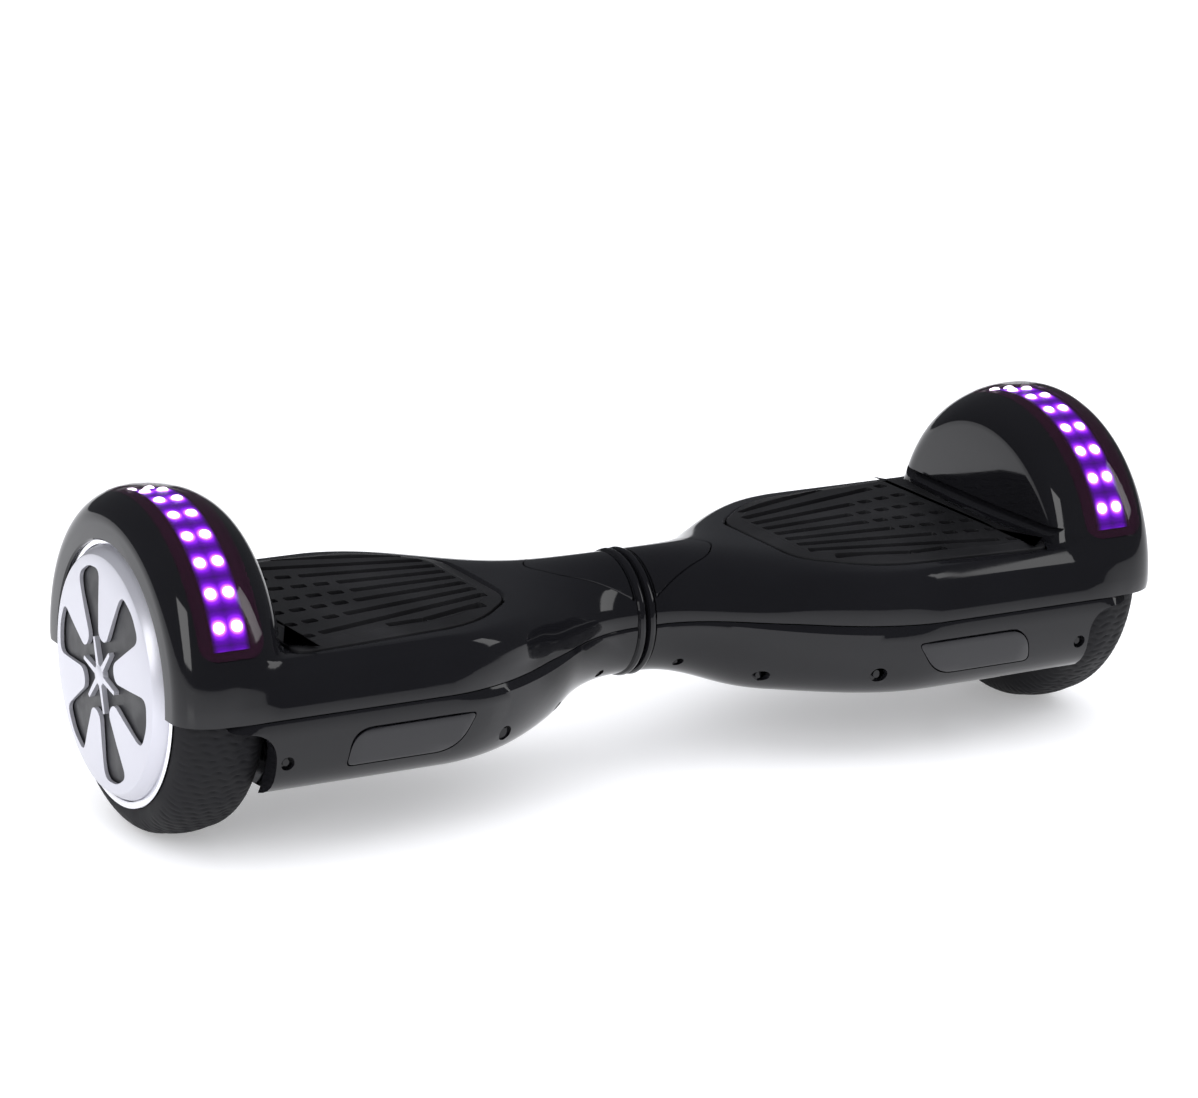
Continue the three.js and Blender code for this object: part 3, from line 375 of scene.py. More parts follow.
copper_wire = Finish("copper_wire", Metallic=0.9)
along, _, _ = copper_wire.xyz()
turns = (along * 5200.0).apply("SINE")
# The colour is darker where the wave is low, in the grooves between the turns: painted shade, laid on the
# same wave as the bump.
copper_wire.colour(copper_wire.blend(copper_wire.window(turns, -1.0, 1.0), (0.32, 0.12, 0.05),
    (0.66, 0.30, 0.13)))
copper_wire.roughness(copper_wire.window(turns, -1.0, 1.0, 0.5, 0.3))
copper_wire.relief(turns, 0.3, 0.7)

magnet_plate = Finish("magnet_plate", Metallic=0.9)
plating = magnet_plate.noise(300.0, 4.0)
magnet_plate.colour(magnet_plate.blend(plating, (0.12, 0.125, 0.13), (0.20, 0.205, 0.21)))
magnet_plate.roughness(magnet_plate.window(plating, 0.3, 0.7, 0.28, 0.45))

# %% Boards and battery
circuit = Finish("circuit", Specular_IOR_Level=0.5)
tracks = circuit.node("TexBrick", {}, {
    "Vector": circuit.place, "Color1": (0.012, 0.075, 0.032), "Color2": (0.016, 0.095, 0.042),
    "Mortar": (0.10, 0.085, 0.03), "Scale": 160.0, "Mortar Size": 0.012})
circuit.colour(tracks)
circuit.roughness(circuit.window(circuit.noise(90.0), 0.3, 0.7, 0.3, 0.5))

battery_wrap = Finish("battery_wrap", Specular_IOR_Level=0.5)
_, across, _ = battery_wrap.xyz()
cells = (across * 330.0).apply("SINE")
# The blue is darker where the wave is low, in the hollows between the cells: painted shade, laid on the same
# wave as the bump.
battery_wrap.colour(battery_wrap.blend(battery_wrap.window(cells, -1.0, 1.0), (0.010, 0.035, 0.13),
    (0.018, 0.06, 0.20)))
battery_wrap.roughness(battery_wrap.window(battery_wrap.noise(80.0), 0.3, 0.7, 0.25, 0.4))
battery_wrap.relief(cells, 0.8, 0.8)


# %% [markdown]
# ## Modelling helpers
# A primitive is put down, shaped in edit mode, and finished with modifiers. These helpers choose the piece
# to work on, and do the few things that every piece needs: a closed outline raised to a block, a profile
# turned about a line, a hole cut out of a wall.

# %% Choosing a piece and parts of it
def work_on(piece):
    if bpy.context.object and bpy.context.object.mode != "OBJECT":
        bpy.ops.object.mode_set(mode="OBJECT")
    bpy.ops.object.select_all(action="DESELECT")
    piece.select_set(True)
    bpy.context.view_layer.objects.active = piece
    return piece


def named(name):
    """The primitive that was just added, with its place moved into its mesh."""
    piece = work_on(bpy.context.object)
    bpy.ops.object.transform_apply(location=True, rotation=True, scale=True)
    piece.name = piece.data.name = name
    return piece


def edit(piece, kind="FACE"):
    work_on(piece)
    bpy.ops.object.mode_set(mode="EDIT")
    bpy.ops.mesh.select_mode(type=kind)
    bpy.ops.mesh.select_all(action="SELECT")


def leave():
    bpy.ops.object.mode_set(mode="OBJECT")


def pick(piece, kind, wanted):
    """Opens the piece with only those vertices, edges or faces selected that pass a test."""
    edit(piece, kind)
    bpy.ops.mesh.select_all(action="DESELECT")
    leave()
    parts = {"VERT": piece.data.vertices, "EDGE": piece.data.edges, "FACE": piece.data.polygons}[kind]
    for part in parts:
        part.select = bool(wanted(part))
    bpy.ops.object.mode_set(mode="EDIT")


def finish_mesh(piece, angle=30):
    """Doubles merged, normals out, smooth except over edges sharper than the angle."""
    edit(piece)
    bpy.ops.mesh.remove_doubles(threshold=0.00001)
    bpy.ops.mesh.select_all(action="SELECT")
    bpy.ops.mesh.normals_make_consistent(inside=False)
    leave()
    bpy.ops.object.shade_smooth_by_angle(angle=math.radians(angle))
    return piece


def modifier(piece, kind, **settings):
    """Adds a modifier and applies it."""
    work_on(piece)
    made = piece.modifiers.new(kind.lower(), kind)
    for key, value in settings.items():
        setattr(made, key, value)
    bpy.ops.object.modifier_apply(modifier=made.name)
    return piece


def rounded(piece, width, segments=2, angle=40):
    return modifier(piece, "BEVEL", width=width * MM, segments=segments, limit_method="ANGLE",
                    angle_limit=math.radians(angle), use_clamp_overlap=True)


def carve(piece, *cutters, operation="DIFFERENCE"):
    for cutter in cutters:
        modifier(piece, "BOOLEAN", object=cutter, operation=operation, solver="MANIFOLD")
        bpy.data.objects.remove(cutter)
    return piece


def copy_of(piece, name):
    twin = piece.copy()
    twin.data = piece.data.copy()
    twin.name = twin.data.name = name
    bpy.context.scene.collection.objects.link(twin)
    return twin


def mirrored(piece, name):
    """The same piece for the left half."""
    twin = copy_of(piece, name)
    twin.data.transform(Matrix.Scale(-1, 4, Vector((1, 0, 0))))
    twin.data.flip_normals()
    return twin


def joined(pieces, name):
    work_on(pieces[0])
    for piece in pieces:
        piece.select_set(True)
    bpy.ops.object.join()
    pieces[0].name = pieces[0].data.name = name
    return pieces[0]


# %% Bars, outlines and turned forms
TURN_TO = {"X": (0, math.pi / 2, 0), "Y": (math.pi / 2, 0, 0), "Z": (0, 0, 0)}


def bar(name, axis, radius, ends, centre, sides=64):
    """A round bar along an axis; centre gives its other two coordinates."""
    place = list(centre)
    place.insert("XYZ".index(axis), sum(ends) / 2)
    bpy.ops.mesh.primitive_cylinder_add(
        vertices=sides, radius=radius * MM, depth=(ends[1] - ends[0]) * MM,
        location=[value * MM for value in place], rotation=TURN_TO[axis])
    return named(name)


def raised(name, outline, axis, ends):
    """A disc whose rim is pulled to an outline, then extruded from one end to the other."""
    bpy.ops.mesh.primitive_circle_add(vertices=len(outline), radius=1, fill_type="NGON")
    piece = named(name)
    at = "XYZ".index(axis)
    for vertex, (a, b) in zip(piece.data.vertices, outline):
        place = [a, b]
        place.insert(at, ends[0])
        vertex.co = Vector(place) * MM
    edit(piece)
    rise = [0, 0, 0]
    rise[at] = (ends[1] - ends[0]) * MM
    bpy.ops.mesh.extrude_region_move(TRANSFORM_OT_translate={"value": rise})
    leave()
    return finish_mesh(piece)


def turned(name, profile, centre_z, steps=96, sweep=360.0, start=0.0):
    """A closed profile of (x, radius) spun about the axle; start is degrees from up to the front."""
    bpy.ops.mesh.primitive_circle_add(vertices=len(profile), radius=1, fill_type="NOTHING")
    piece = named(name)
    lean = math.radians(start)
    for vertex, (x, radius) in zip(piece.data.vertices, profile):
        vertex.co = Vector((x, -radius * math.sin(lean), centre_z + radius * math.cos(lean))) * MM
    edit(piece, "EDGE")
    if sweep < 360:
        bpy.ops.mesh.edge_face_add()
    bpy.ops.mesh.spin(steps=steps, angle=-math.radians(sweep), center=(0, 0, centre_z * MM), axis=(1, 0, 0))
    leave()
    return finish_mesh(piece)


def corner_arcs(corners, steps=6):
    """An outline through corners of (a, b, rounding), each corner replaced by a smooth curve."""
    points = []
    for i, (a, b, rounding) in enumerate(corners):
        here = Vector((a, b))
        before = Vector(corners[i - 1][:2])
        after = Vector(corners[(i + 1) % len(corners)][:2])
        start = here + (before - here).normalized() * rounding
        end = here + (after - here).normalized() * rounding
        for step in range(steps + 1):
            t = step / steps
            points.append(start * (1 - t) ** 2 + here * 2 * t * (1 - t) + end * t * t)
    return [(point.x, point.y) for point in points]


# %% [markdown]
# ## The body's form
# Seen from the front, each half swells from a round neck to a deep box, and its end rises into a drum over
# the wheel. Such a form is a loft: one section after another along the axle. A section here is a rounded
# box whose corners are cut by the glossy chamfer along the deck's edge, and near the wheel the fender's
# circle is blended in. The rows of points follow the chamfer's two creases, so the reflections break
# exactly along them.

# %% The section law
def clamp01(value):
    return min(1.0, max(0.0, value))


def mix(a, b, share):
    return a + (b - a) * share


def soft_max(a, b, softness):
    share = clamp01(0.5 + 0.5 * (a - b) / softness)
    return mix(b, a, share) + softness * share * (1 - share)


def soft_min(a, b, softness):
    return -soft_max(-a, -b, softness)


FLARE_START, FLARE_END, FLARE_SOFTNESS = 30.0, 146.0, 0.2
INNER_DROP, OUTER_DROP = 21.5, 17.5


def section_at(x, inset=0.0):
    t = clamp01(soft_max((x - FLARE_START) / (FLARE_END - FLARE_START), 0, FLARE_SOFTNESS))
    width = math.sin(t * math.pi / 2)
    belly = math.sin(clamp01(t / 0.36) * math.pi / 2)
    fade = clamp01((x - FENDER_CREST + 15) / (BODY_END - FENDER_CREST + 15))
    return {
        "half": mix(NECK_RADIUS, HALF_DEPTH, width) - inset,
        "rise": mix(PIVOT_Z + NECK_RADIUS, DECK_Z, width) - SEAM_Z - inset,
        "fall": SEAM_Z - mix(PIVOT_Z - NECK_RADIUS, BELLY_Z, belly) - inset,
        "upper": 2 + 12 * t ** 3,
        "lower": 2 + 2.4 * t * t * (3 - 2 * t),
        "fade": 1 - 0.35 * fade * fade,
        "full": t,
    }


def fender_radius(x):
    inside = x < FENDER_CREST
    reach = FENDER_CREST - FENDER_WALL if inside else BODY_END - FENDER_CREST
    share = clamp01(abs(x - FENDER_CREST) / reach)
    return FENDER_RADIUS - (INNER_DROP if inside else OUTER_DROP) * (1 - math.sqrt(1 - share * share))


CHAMFER_FOOT, CHAMFER_TOP, CHAMFER_DROP = 5.0, 12.0, 8.0


def crease_angles(section):
    """Directions, in degrees above the seam, of the chamfer's lower and upper crease."""
    low = math.atan2(section["rise"] - CHAMFER_DROP, section["half"] - CHAMFER_FOOT)
    high = math.atan2(section["rise"], section["half"] - CHAMFER_TOP)
    return math.degrees(low), math.degrees(high)


def to_line(direction, first, second):
    """Distance from the seam's centre to the line through two points, along a direction."""
    (ax, az), (bx, bz) = first, second
    normal = Vector((bz - az, ax - bx))
    along = direction.dot(normal)
    return Vector(first).dot(normal) / along if along > 1e-6 else 1e6


def reach_at(x, angle, inset=0.0, fender=0.0):
    """How far the body goes from the seam's centre at x, in a direction of -90 (down) to 90 (up) degrees."""
    section = section_at(x, inset)
    direction = Vector((abs(math.cos(math.radians(angle))), math.sin(math.radians(angle))))
    upper = angle >= 0
    power = section["upper" if upper else "lower"]
    height = section["rise" if upper else "fall"]
    total = (direction.x / section["half"]) ** power + (abs(direction.y) / height) ** power
    reach = total ** (-1 / power) * (section["fade"] if upper else 1)
    if upper:
        full = section["full"]
        foot = (section["half"] - CHAMFER_FOOT * full, section["rise"] - CHAMFER_DROP)
        side = to_line(direction, (section["half"], 0), foot)
        chamfer = to_line(direction, foot,
            (section["half"] - CHAMFER_TOP * full, section["rise"] + 4 * (1 - full)))
        softness = mix(14, 0.9, full ** 2)
        cut = soft_min(reach, soft_min(side, chamfer, softness) * section["fade"], softness)
        reach = mix(reach, cut, clamp01(full / 0.4) ** 2)
        lift = AXLE_Z - SEAM_Z
        across = fender ** 2 - (lift * direction.x) ** 2
        if fender > 0 and across > 0:
            reach = soft_max(reach, lift * direction.y + math.sqrt(across), 5.0)
    return reach


def body_point(x, turn, inset=0.0, fender=0.0):
    """A point of the body; turn goes from 0 at the front seam over the top, and on under the belly to 360."""
    angle = turn if turn <= 90 else 180 - turn if turn <= 270 else turn - 360
    reach = reach_at(x, angle, inset, fender)
    turn = math.radians(turn)
    return Vector((x, -math.cos(turn) * reach, SEAM_Z + math.sin(turn) * reach))


# %% Stations along the axle, and rows round the section
def stations():
    """Places along the axle, each with the fender's radius there."""
    found = [(mix(BODY_START, FLARE_START, i / 8), 0) for i in range(9)]
    found += [(mix(FLARE_START, FLARE_END, i / 26), 0) for i in range(1, 27)]
    found += [(mix(FLARE_END, FENDER_WALL - 2, i / 5), 0) for i in range(1, 6)]
    foot, top = DECK_Z - AXLE_Z, FENDER_RADIUS - INNER_DROP
    found += [(FENDER_WALL - 1.2, foot), (FENDER_WALL - 0.8, mix(foot, top, 0.35)),
        (FENDER_WALL - 0.4, mix(foot, top, 0.7))]
    inner = [FENDER_CREST - (FENDER_CREST - FENDER_WALL) * math.cos(i / 16 * math.pi / 2)
        for i in range(17)]
    outer = [FENDER_CREST + (BODY_END - FENDER_CREST) * math.sin(i / 12 * math.pi / 2)
        for i in range(1, 13)]
    return found + [(x, fender_radius(x)) for x in inner + outer]


TO_CREASE = [0, 0.2, 0.45, 0.7, 0.88, 0.96, 1]
OVER_CHAMFER = [0.06, 0.2, 0.5, 0.8, 0.94, 1]
OVER_TOP = [0.008, 0.03, 0.06] + [i / 24 for i in range(2, 25)]


def upper_turns(x):
    """Directions of the rows over the top, from the front seam to the back seam."""
    low, high = crease_angles(section_at(x))
    front = [low * s for s in TO_CREASE] + [mix(low, high, s) for s in OVER_CHAMFER]
    front += [mix(high, 90, s) for s in OVER_TOP]
    return front + [180 - turn for turn in reversed(front[:-1])]


LOWER_TURNS = [180 + 180 * i / 64 for i in range(65)]


def loft(name, columns, rows_at, point_at):
    """A grid whose columns are the stations, rolled to a closed skin and capped at both ends."""
    rows = len(rows_at(columns[0]))
    bpy.ops.mesh.primitive_grid_add(x_subdivisions=len(columns) - 1, y_subdivisions=rows, size=1)
    piece = named(name)
    places = [[point_at(column, turn) for turn in rows_at(column)] for column in columns]
    for vertex in piece.data.vertices:
        i = round((vertex.co.x + 0.5) * (len(columns) - 1))
        j = round((vertex.co.y + 0.5) * rows) % rows
        vertex.co = places[i][j] * MM
    edit(piece)
    bpy.ops.mesh.remove_doubles(threshold=0.000001)
    bpy.ops.mesh.select_all(action="DESELECT")
    bpy.ops.mesh.select_mode(type="EDGE")
    bpy.ops.mesh.select_non_manifold(extend=False)
    bpy.ops.mesh.fill_holes(sides=0)
    leave()
    return finish_mesh(piece)


SEAM_HALF_GAP, SEAM_EDGE = 0.3, 0.7


def upper_point(column, turn):
    """The upper body, with the edge along the seam rounded under."""
    x, fender = column
    place = body_point(x, turn, 0, fender)
    place.z = max(place.z, SEAM_Z + SEAM_HALF_GAP + (SEAM_EDGE if 0 < turn < 180 else 0))
    if turn in (0, 180):
        place.y -= math.copysign(SEAM_EDGE, place.y)
    return place


def lower_point(column, turn):
    x, _ = column
    place = body_point(x, turn)
    place.z = min(place.z, SEAM_Z - SEAM_HALF_GAP - (SEAM_EDGE if 180 < turn < 360 else 0))
    if turn in (180, 360):
        place.y -= math.copysign(SEAM_EDGE, place.y)
    return place


body_stations = stations()
upper_body = loft("upper_body", body_stations, lambda column: upper_turns(column[0]), upper_point)
lower_body = loft("lower_body", body_stations, lambda column: LOWER_TURNS, lower_point)
print("body faces:", len(upper_body.data.polygons), len(lower_body.data.polygons))

# %% [markdown]
# ## Cavity, wheel well and recesses
# The shells are hollow, so each body is carved: a smaller loft makes the cavity, a turned form makes room
# for the wheel, and outlines raised to blocks make the recess of the footpad and the openings of the
# lights. A cutter that flares at its mouth leaves the small chamfer that a moulded edge has.

# %% Cutters
CAVITY_END = FENDER_WALL - WALL
cavity_stations = [BODY_START + WALL, 14, 20, 25,
    FLARE_START] + [mix(FLARE_START, FLARE_END, i / 12) for i in range(1, 13)]
cavity_stations += [188, CAVITY_END]
cavity = loft(
    "cavity", cavity_stations, lambda x: [360 * i / 72 for i in range(72)],
    lambda x, turn: body_point(x, turn, WALL))

WELL_RADIUS = TYRE_RADIUS + 2.6
WELL_START, WELL_END = TYRE_INNER - 4.7, TYRE_OUTER + 2.1
OPENING_RADIUS = 67.0


BORE_RADIUS = 26.0


def tube_hole():
    """The way for the pivot tube through the waist's end wall."""
    return bar("bore", "X", BORE_RADIUS, (0, BODY_START + WALL + 4), (0, PIVOT_Z))


def well_cutter():
    xs = [mix(WELL_START, WELL_END, i / 24) for i in range(25)]
    roof = [(x, min(WELL_RADIUS, fender_radius(x) - 2.4)) for x in xs]
    space = turned("well", [(WELL_START, 0)] + roof + [(WELL_END, 0)], AXLE_Z, 128)
    mouth = turned("mouth", [
        (WELL_END - 1, 0), (WELL_END - 1, OPENING_RADIUS), (BODY_END - 0.9, OPENING_RADIUS),
        (BODY_END, OPENING_RADIUS + 0.9),
        (BODY_END + 4, OPENING_RADIUS + 4.9), (BODY_END + 4, 0)], AXLE_Z, 128)
    return space, mouth


def pad_outline(grow, steps=8):
    inner, shoulder, outer = 38 + grow * 0.5, 70 + grow, PAD_HALF + grow * 1.1
    return corner_arcs([
        (PAD_START - grow, -inner, 12), (122 - grow * 0.4, -shoulder, 22), (PAD_END + grow, -outer, 9),
        (PAD_END + grow, outer, 9), (122 - grow * 0.4, shoulder, 22), (PAD_START - grow, inner, 12)], steps)


def flared(name, outline_at, axis, floor_at, rim_at, mouth_at, flare):
    """A cutter with straight sides up to the rim, which then widens to its mouth."""
    piece = raised(name, outline_at(0), axis, (floor_at, rim_at))
    at = "XYZ".index(axis)
    wide = outline_at(flare * abs(mouth_at - rim_at))
    pick(piece, "FACE", lambda face: abs(face.center[at] - rim_at * MM) < 1e-6)
    rise = [0, 0, 0]
    rise[at] = (mouth_at - rim_at) * MM
    bpy.ops.mesh.extrude_region_move(TRANSFORM_OT_translate={"value": rise})
    leave()
    others = [i for i in range(3) if i != at]
    narrow = outline_at(0)
    for vertex in piece.data.vertices:
        if abs(vertex.co[at] - mouth_at * MM) < 1e-6:
            here = Vector((vertex.co[others[0]], vertex.co[others[1]])) / MM
            nearest = min(range(len(narrow)), key=lambda k: (Vector(narrow[k]) - here).length)
            for i, value in zip(others, wide[nearest]):
                vertex.co[i] = value * MM
    return finish_mesh(piece)


PAD_GAP = 0.9
TRAY_TOP, TRAY_BOTTOM = 103.0, 100.6


def neck_outline(grow):
    start = BODY_START + WALL / 2 - grow
    return corner_arcs([
        (start, -29 - grow, 1), (46, -17 - grow, 8), (58 + grow, 0, 9), (46, 17 + grow, 8),
        (start, 29 + grow, 1)], 5)


HEADLIGHT_START, HEADLIGHT_END = span("right_headlight_lens", 0)
HEADLIGHT_BOTTOM, HEADLIGHT_TOP = span("right_headlight_lens", 2)


def headlight_outline(grow):
    return corner_arcs([
        (HEADLIGHT_START - grow, HEADLIGHT_TOP + grow, 4),
        (HEADLIGHT_END - 3 + grow, HEADLIGHT_TOP + grow, 12),
        (HEADLIGHT_END + grow, HEADLIGHT_BOTTOM - grow, 4),
        (HEADLIGHT_START + 12 - grow, HEADLIGHT_BOTTOM - grow, 12)], 8)


# %% [markdown]
# ## Patches of the fender
# The smoked lens lies flush in the fender. A grid laid on the fender's own form, given a thickness by
# Solidify, makes the lens, and the same patch, a little larger and thicker, cuts its seat.

# %% A patch with rounded corners
BOARD_START, BOARD_END = span("right_fender_led_board", 0)
BOARD_RADIUS = 89.1
LENS_BACK, LENS_FRONT, LENS_CORNER = -24.0, 72.0, 9.0


def fender_patch(name, grow, outer, thickness):
    """The fender's skin over the lens, grown sideways, offset outwards and given a thickness inwards."""
    columns, rows = 24, 84
    arc = FENDER_RADIUS * math.radians(1)
    middle, half = (LENS_START + LENS_END) / 2, (LENS_END - LENS_START) / 2 + grow
    centre, half_arc = (LENS_BACK + LENS_FRONT) / 2, (LENS_FRONT - LENS_BACK) / 2 * arc + grow
    corner = LENS_CORNER + grow
    bpy.ops.mesh.primitive_grid_add(x_subdivisions=columns, y_subdivisions=rows, size=1)
    piece = named(name)
    for vertex in piece.data.vertices:
        u, v = vertex.co.x * 2, math.sin(vertex.co.y * math.pi)
        from_end = half_arc * (1 - abs(v))
        bite = corner - math.sqrt(max(0,
            corner ** 2 - (corner - from_end) ** 2)) if from_end < corner else 0
        x = middle + u * (half - bite)
        lean = math.radians(centre + v * half_arc / arc)
        direction = Vector((0, -math.sin(lean), math.cos(lean)))
        reach = fender_radius(x)
        for _ in range(3):
            place = Vector((x, 0, AXLE_Z)) + direction * reach
            turn = math.degrees(math.atan2(place.z - SEAM_Z, -place.y))
            skin = body_point(x, turn, 0, fender_radius(x))
            reach = (skin - Vector((x, 0, AXLE_Z))).length
        vertex.co = (Vector((x, 0, AXLE_Z)) + direction * (reach + outer)) * MM
    edit(piece)
    bpy.ops.mesh.remove_doubles(threshold=0.00002)
    bpy.ops.mesh.normals_make_consistent(inside=False)
    leave()
    up = sum((face.normal.z for face in piece.data.polygons))
    if up < 0:
        piece.data.flip_normals()
    modifier(piece, "SOLIDIFY", thickness=thickness * MM, offset=-1)
    return finish_mesh(piece, 50)


# %% Upper shell
def upper_shell():
    shell = copy_of(upper_body, "right_upper_cover")
    carve(shell, copy_of(cavity, "cavity_copy"))
    tray = raised("tray", pad_outline(WALL), "Z", (TRAY_BOTTOM, DECK_Z - WALL / 2))
    carve(shell, tray, operation="UNION")
    recess = flared("recess", lambda grow: pad_outline(PAD_GAP + grow), "Z", TRAY_TOP, DECK_Z - 0.7,
        DECK_Z + 9, 1.0)
    carve(shell, *well_cutter(), recess)
    carve(shell, fender_patch("lens_seat", 0.45, 3.0, 3.0 + 1.9))
    low, high = BOARD_START - 0.5, BOARD_END + 0.5
    board_pocket = turned(
        "pocket", [(low, 87.8), (low, 95), (high, 95), (high, 87.8)], AXLE_Z, 64,
        LENS_FRONT - LENS_BACK - 5, LENS_BACK + 2.5)
    carve(shell, board_pocket)
    carve(shell, raised("neck_hole", neck_outline(0.9), "Z", (SEAM_Z + 8, 150)))
    carve(shell, tube_hole())
    return finish_mesh(shell)


upper = upper_shell()
print("upper shell faces:", len(upper.data.polygons))

# %% [markdown]
# ## Lower shell
# The belly is carved the same way. Its arch clears the tyre, an opening takes the headlight, and the screws
# that hold the two shells together sit deep in round recesses along the lower edge.

# %% Lower shell with its screw recesses
SCREWS = [(24, 55, 2.6), (62, 48.5, 3.6), (112.5, 53, 4.2), (237, 57.5, 3.6)]
ARCH_START, ARCH_TOP, STRIP_END = TYRE_INNER + 3.5, SEAM_Z - 7, FENDER_CREST + 3


def side_at(x, z):
    """How far out the lower shell's side is at a height."""
    low, high = -89.0, -0.5
    for _ in range(30):
        middle = (low + high) / 2
        reach = reach_at(x, middle)
        low, high = (middle, high) if SEAM_Z + math.sin(math.radians(middle)) * reach < z else (low, middle)
    return math.cos(math.radians(low)) * reach_at(x, low)


def lower_shell():
    shell = copy_of(lower_body, "right_lower_cover")
    carve(shell, copy_of(cavity, "cavity_copy"), *well_cutter())
    carve(shell, raised("arch", corner_arcs([
        (ARCH_START, -40, 1), (ARCH_START, ARCH_TOP, 14), (STRIP_END - 2, ARCH_TOP + 4, 3),
        (STRIP_END, SEAM_Z + 9, 1),
        (400, SEAM_Z + 9, 1), (400, -40, 1)], 10), "Y", (-150, 150)))
    carve(shell, flared("light_hole", lambda grow: headlight_outline(0.6 + grow), "Y", 0, -HALF_DEPTH + 0.6,
        -HALF_DEPTH - 6, 1.0))
    carve(shell, tube_hole())
    for i, (x, z, radius) in enumerate(SCREWS):
        for side in (-1, 1):
            edge = side_at(x, z)
            recess = bar(f"screw_{i}", "Y", radius, sorted((side * (edge - 4), side * 140)), (x, z), 32)
            pin = bar(f"pin_{i}", "Y", radius * 0.5, sorted((side * (edge - 6), side * (edge - 2.4))),
                (x, z), 24)
            carve(shell, recess)
            carve(shell, pin, operation="UNION")
    return finish_mesh(shell)


lower = lower_shell()
print("lower shell faces:", len(lower.data.polygons))

# %% [markdown]
# ## Placing pieces
# Each piece gets its finish, rides on its body, and stands for the node that it replaces. The left half is
# the right one in a mirror.

# %% A helper that places both halves
def settle(piece, finish, body, slot, *nodes):
    piece.data.materials.clear()
    piece.data.materials.append(finish.material)
    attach(piece, body)
    if nodes:
        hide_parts(*nodes)
    return piece


def both_halves(piece, name, finish, body, slot, node=None):
    """Places a right-hand piece and its mirror image; body is half, wheel or pad."""
    piece.name = piece.data.name = "right_" + name
    left = mirrored(piece, "left_" + name)
    for side, one in (("right", piece), ("left", left)):
        settle(one, finish, f"{side}_{body}", slot, *([f"{side}_{node}"] if node else []))
    return piece, left


left_lower = mirrored(lower, "left_lower_cover")
settle(left_lower, gloss_black, "left_half", "shell_gloss_black", "left_lower_shell")

PORT_Z = sum(span("power_button", 2)) / 2
BUTTON_X = sum(span("power_button", 0)) / 2
BUTTON_RADIUS = (span("power_button", 0)[1] - span("power_button", 0)[0]) / 2
SOCKET_X = sum(span("charge_socket", 0)) / 2
FLANGE_RADIUS = (span("charge_socket", 0)[1] - span("charge_socket", 0)[0]) / 2
carve(lower, bar("button_hole", "Y", BUTTON_RADIUS + 0.35, (60, 200), (BUTTON_X, PORT_Z)),
      bar("socket_hole", "Y", FLANGE_RADIUS + 0.35, (60, 200), (SOCKET_X, PORT_Z)))
finish_mesh(lower)
settle(lower, gloss_black, "right_half", "shell_gloss_black", "right_lower_shell")
both_halves(upper, "upper_cover", gloss_black, "half", "shell_gloss_black", "upper_shell")

# %% Lozenge panels on the waist
def neck_panel():
    panel = copy_of(upper_body, "neck_panel")
    carve(panel, copy_of(cavity, "cavity_copy"))
    carve(panel, raised("lozenge", neck_outline(0), "Z", (SEAM_Z + 8.3, 150)), operation="INTERSECT")
    carve(panel, tube_hole())
    return finish_mesh(panel)


both_halves(neck_panel(), "waist_panel", gloss_black, "half", "shell_gloss_black", "neck_panel")

# %% [markdown]
# ## Collars
# Two gloss rings meet over the joint with a dark gap between them. Each is a turned profile with a round
# crown.

# %% Collars
def collar():
    start, end, top = COLLAR_START, COLLAR_END, COLLAR_RADIUS
    crown = [(start, BORE_RADIUS), (start, top - 1.6), (start + 0.6, top - 0.5), (start + 1.8, top),
        (end - 2.4, top),
             (end - 1.0, top - 0.5), (end, top - 1.9), (end, BORE_RADIUS)]
    return turned("collar", crown, PIVOT_Z, 96)


both_halves(collar(), "waist_ring", gloss_black, "half", "shell_gloss_black", "pivot_collar")

# %% [markdown]
# ## Footpads
# The mat is moulded rubber: a flat border slopes up from the recess to a plateau, where nine slots fan out
# from the neck end, and bridges break them into cells towards the wheel. The mat is one outline raised and
# drawn in at its top, and every slot is cut with a bar that has rounded ends.

# %% Mat with its slots
PLATEAU = PAD_TOP
SLOT_WIDTH, SLOT_DEPTH = 6.0, 3.2
BRIDGE = 4.2


def slot_line(row, x):
    """Where a slot of the fan runs: row 0 is the middle one."""
    return 11.3 * row + 10.0 * row * (x - 98) / 124


SLOT_LAST = 213.5
SHORTEST_CELL = 5.0
SLOT_ENDS = {-4: (106, 168), -3: (98, SLOT_LAST), -2: (98, SLOT_LAST), -1: (98, SLOT_LAST),
    0: (98, SLOT_LAST),
             1: (98, SLOT_LAST), 2: (98, SLOT_LAST), 3: (99, SLOT_LAST), 4: (105, 171)}
BRIDGES = {-3: (206,), -2: (181, 193.5, 206), -1: (166, 178.5, 191, 203.5),
    0: (160, 172.5, 185, 197.5, 210),
           1: (160, 172.5, 185, 197.5, 210), 2: (173, 185.5, 198, 210.5), 3: (200, 211.5)}


def stadium(start, end, width, steps=6):
    """Outline of a bar with round ends between two points."""
    (ax, ay), (bx, by) = start, end
    way = Vector((bx - ax, by - ay)).normalized()
    base = math.atan2(way.y, way.x)
    radius = width / 2
    corner = min(radius, 1.6)
    points = []
    for (px, py), quarter in (((bx, by), -90), ((bx, by), 0), ((ax, ay), 90), ((ax, ay), 180)):
        side = Vector((math.cos(base + math.radians(quarter + 45)),
            math.sin(base + math.radians(quarter + 45))))
        outward = 1 if quarter in (-90, 0) else -1
        across = Vector((-way.y, way.x)) * (-1 if quarter in (-90, 180) else 1)
        middle = Vector((px, py)) + across * (radius - corner) - way * outward * corner
        for step in range(steps + 1):
            a = base + math.radians(quarter + 90 * step / steps)
            points.append(tuple(middle + corner * Vector((math.cos(a), math.sin(a)))))
    return points


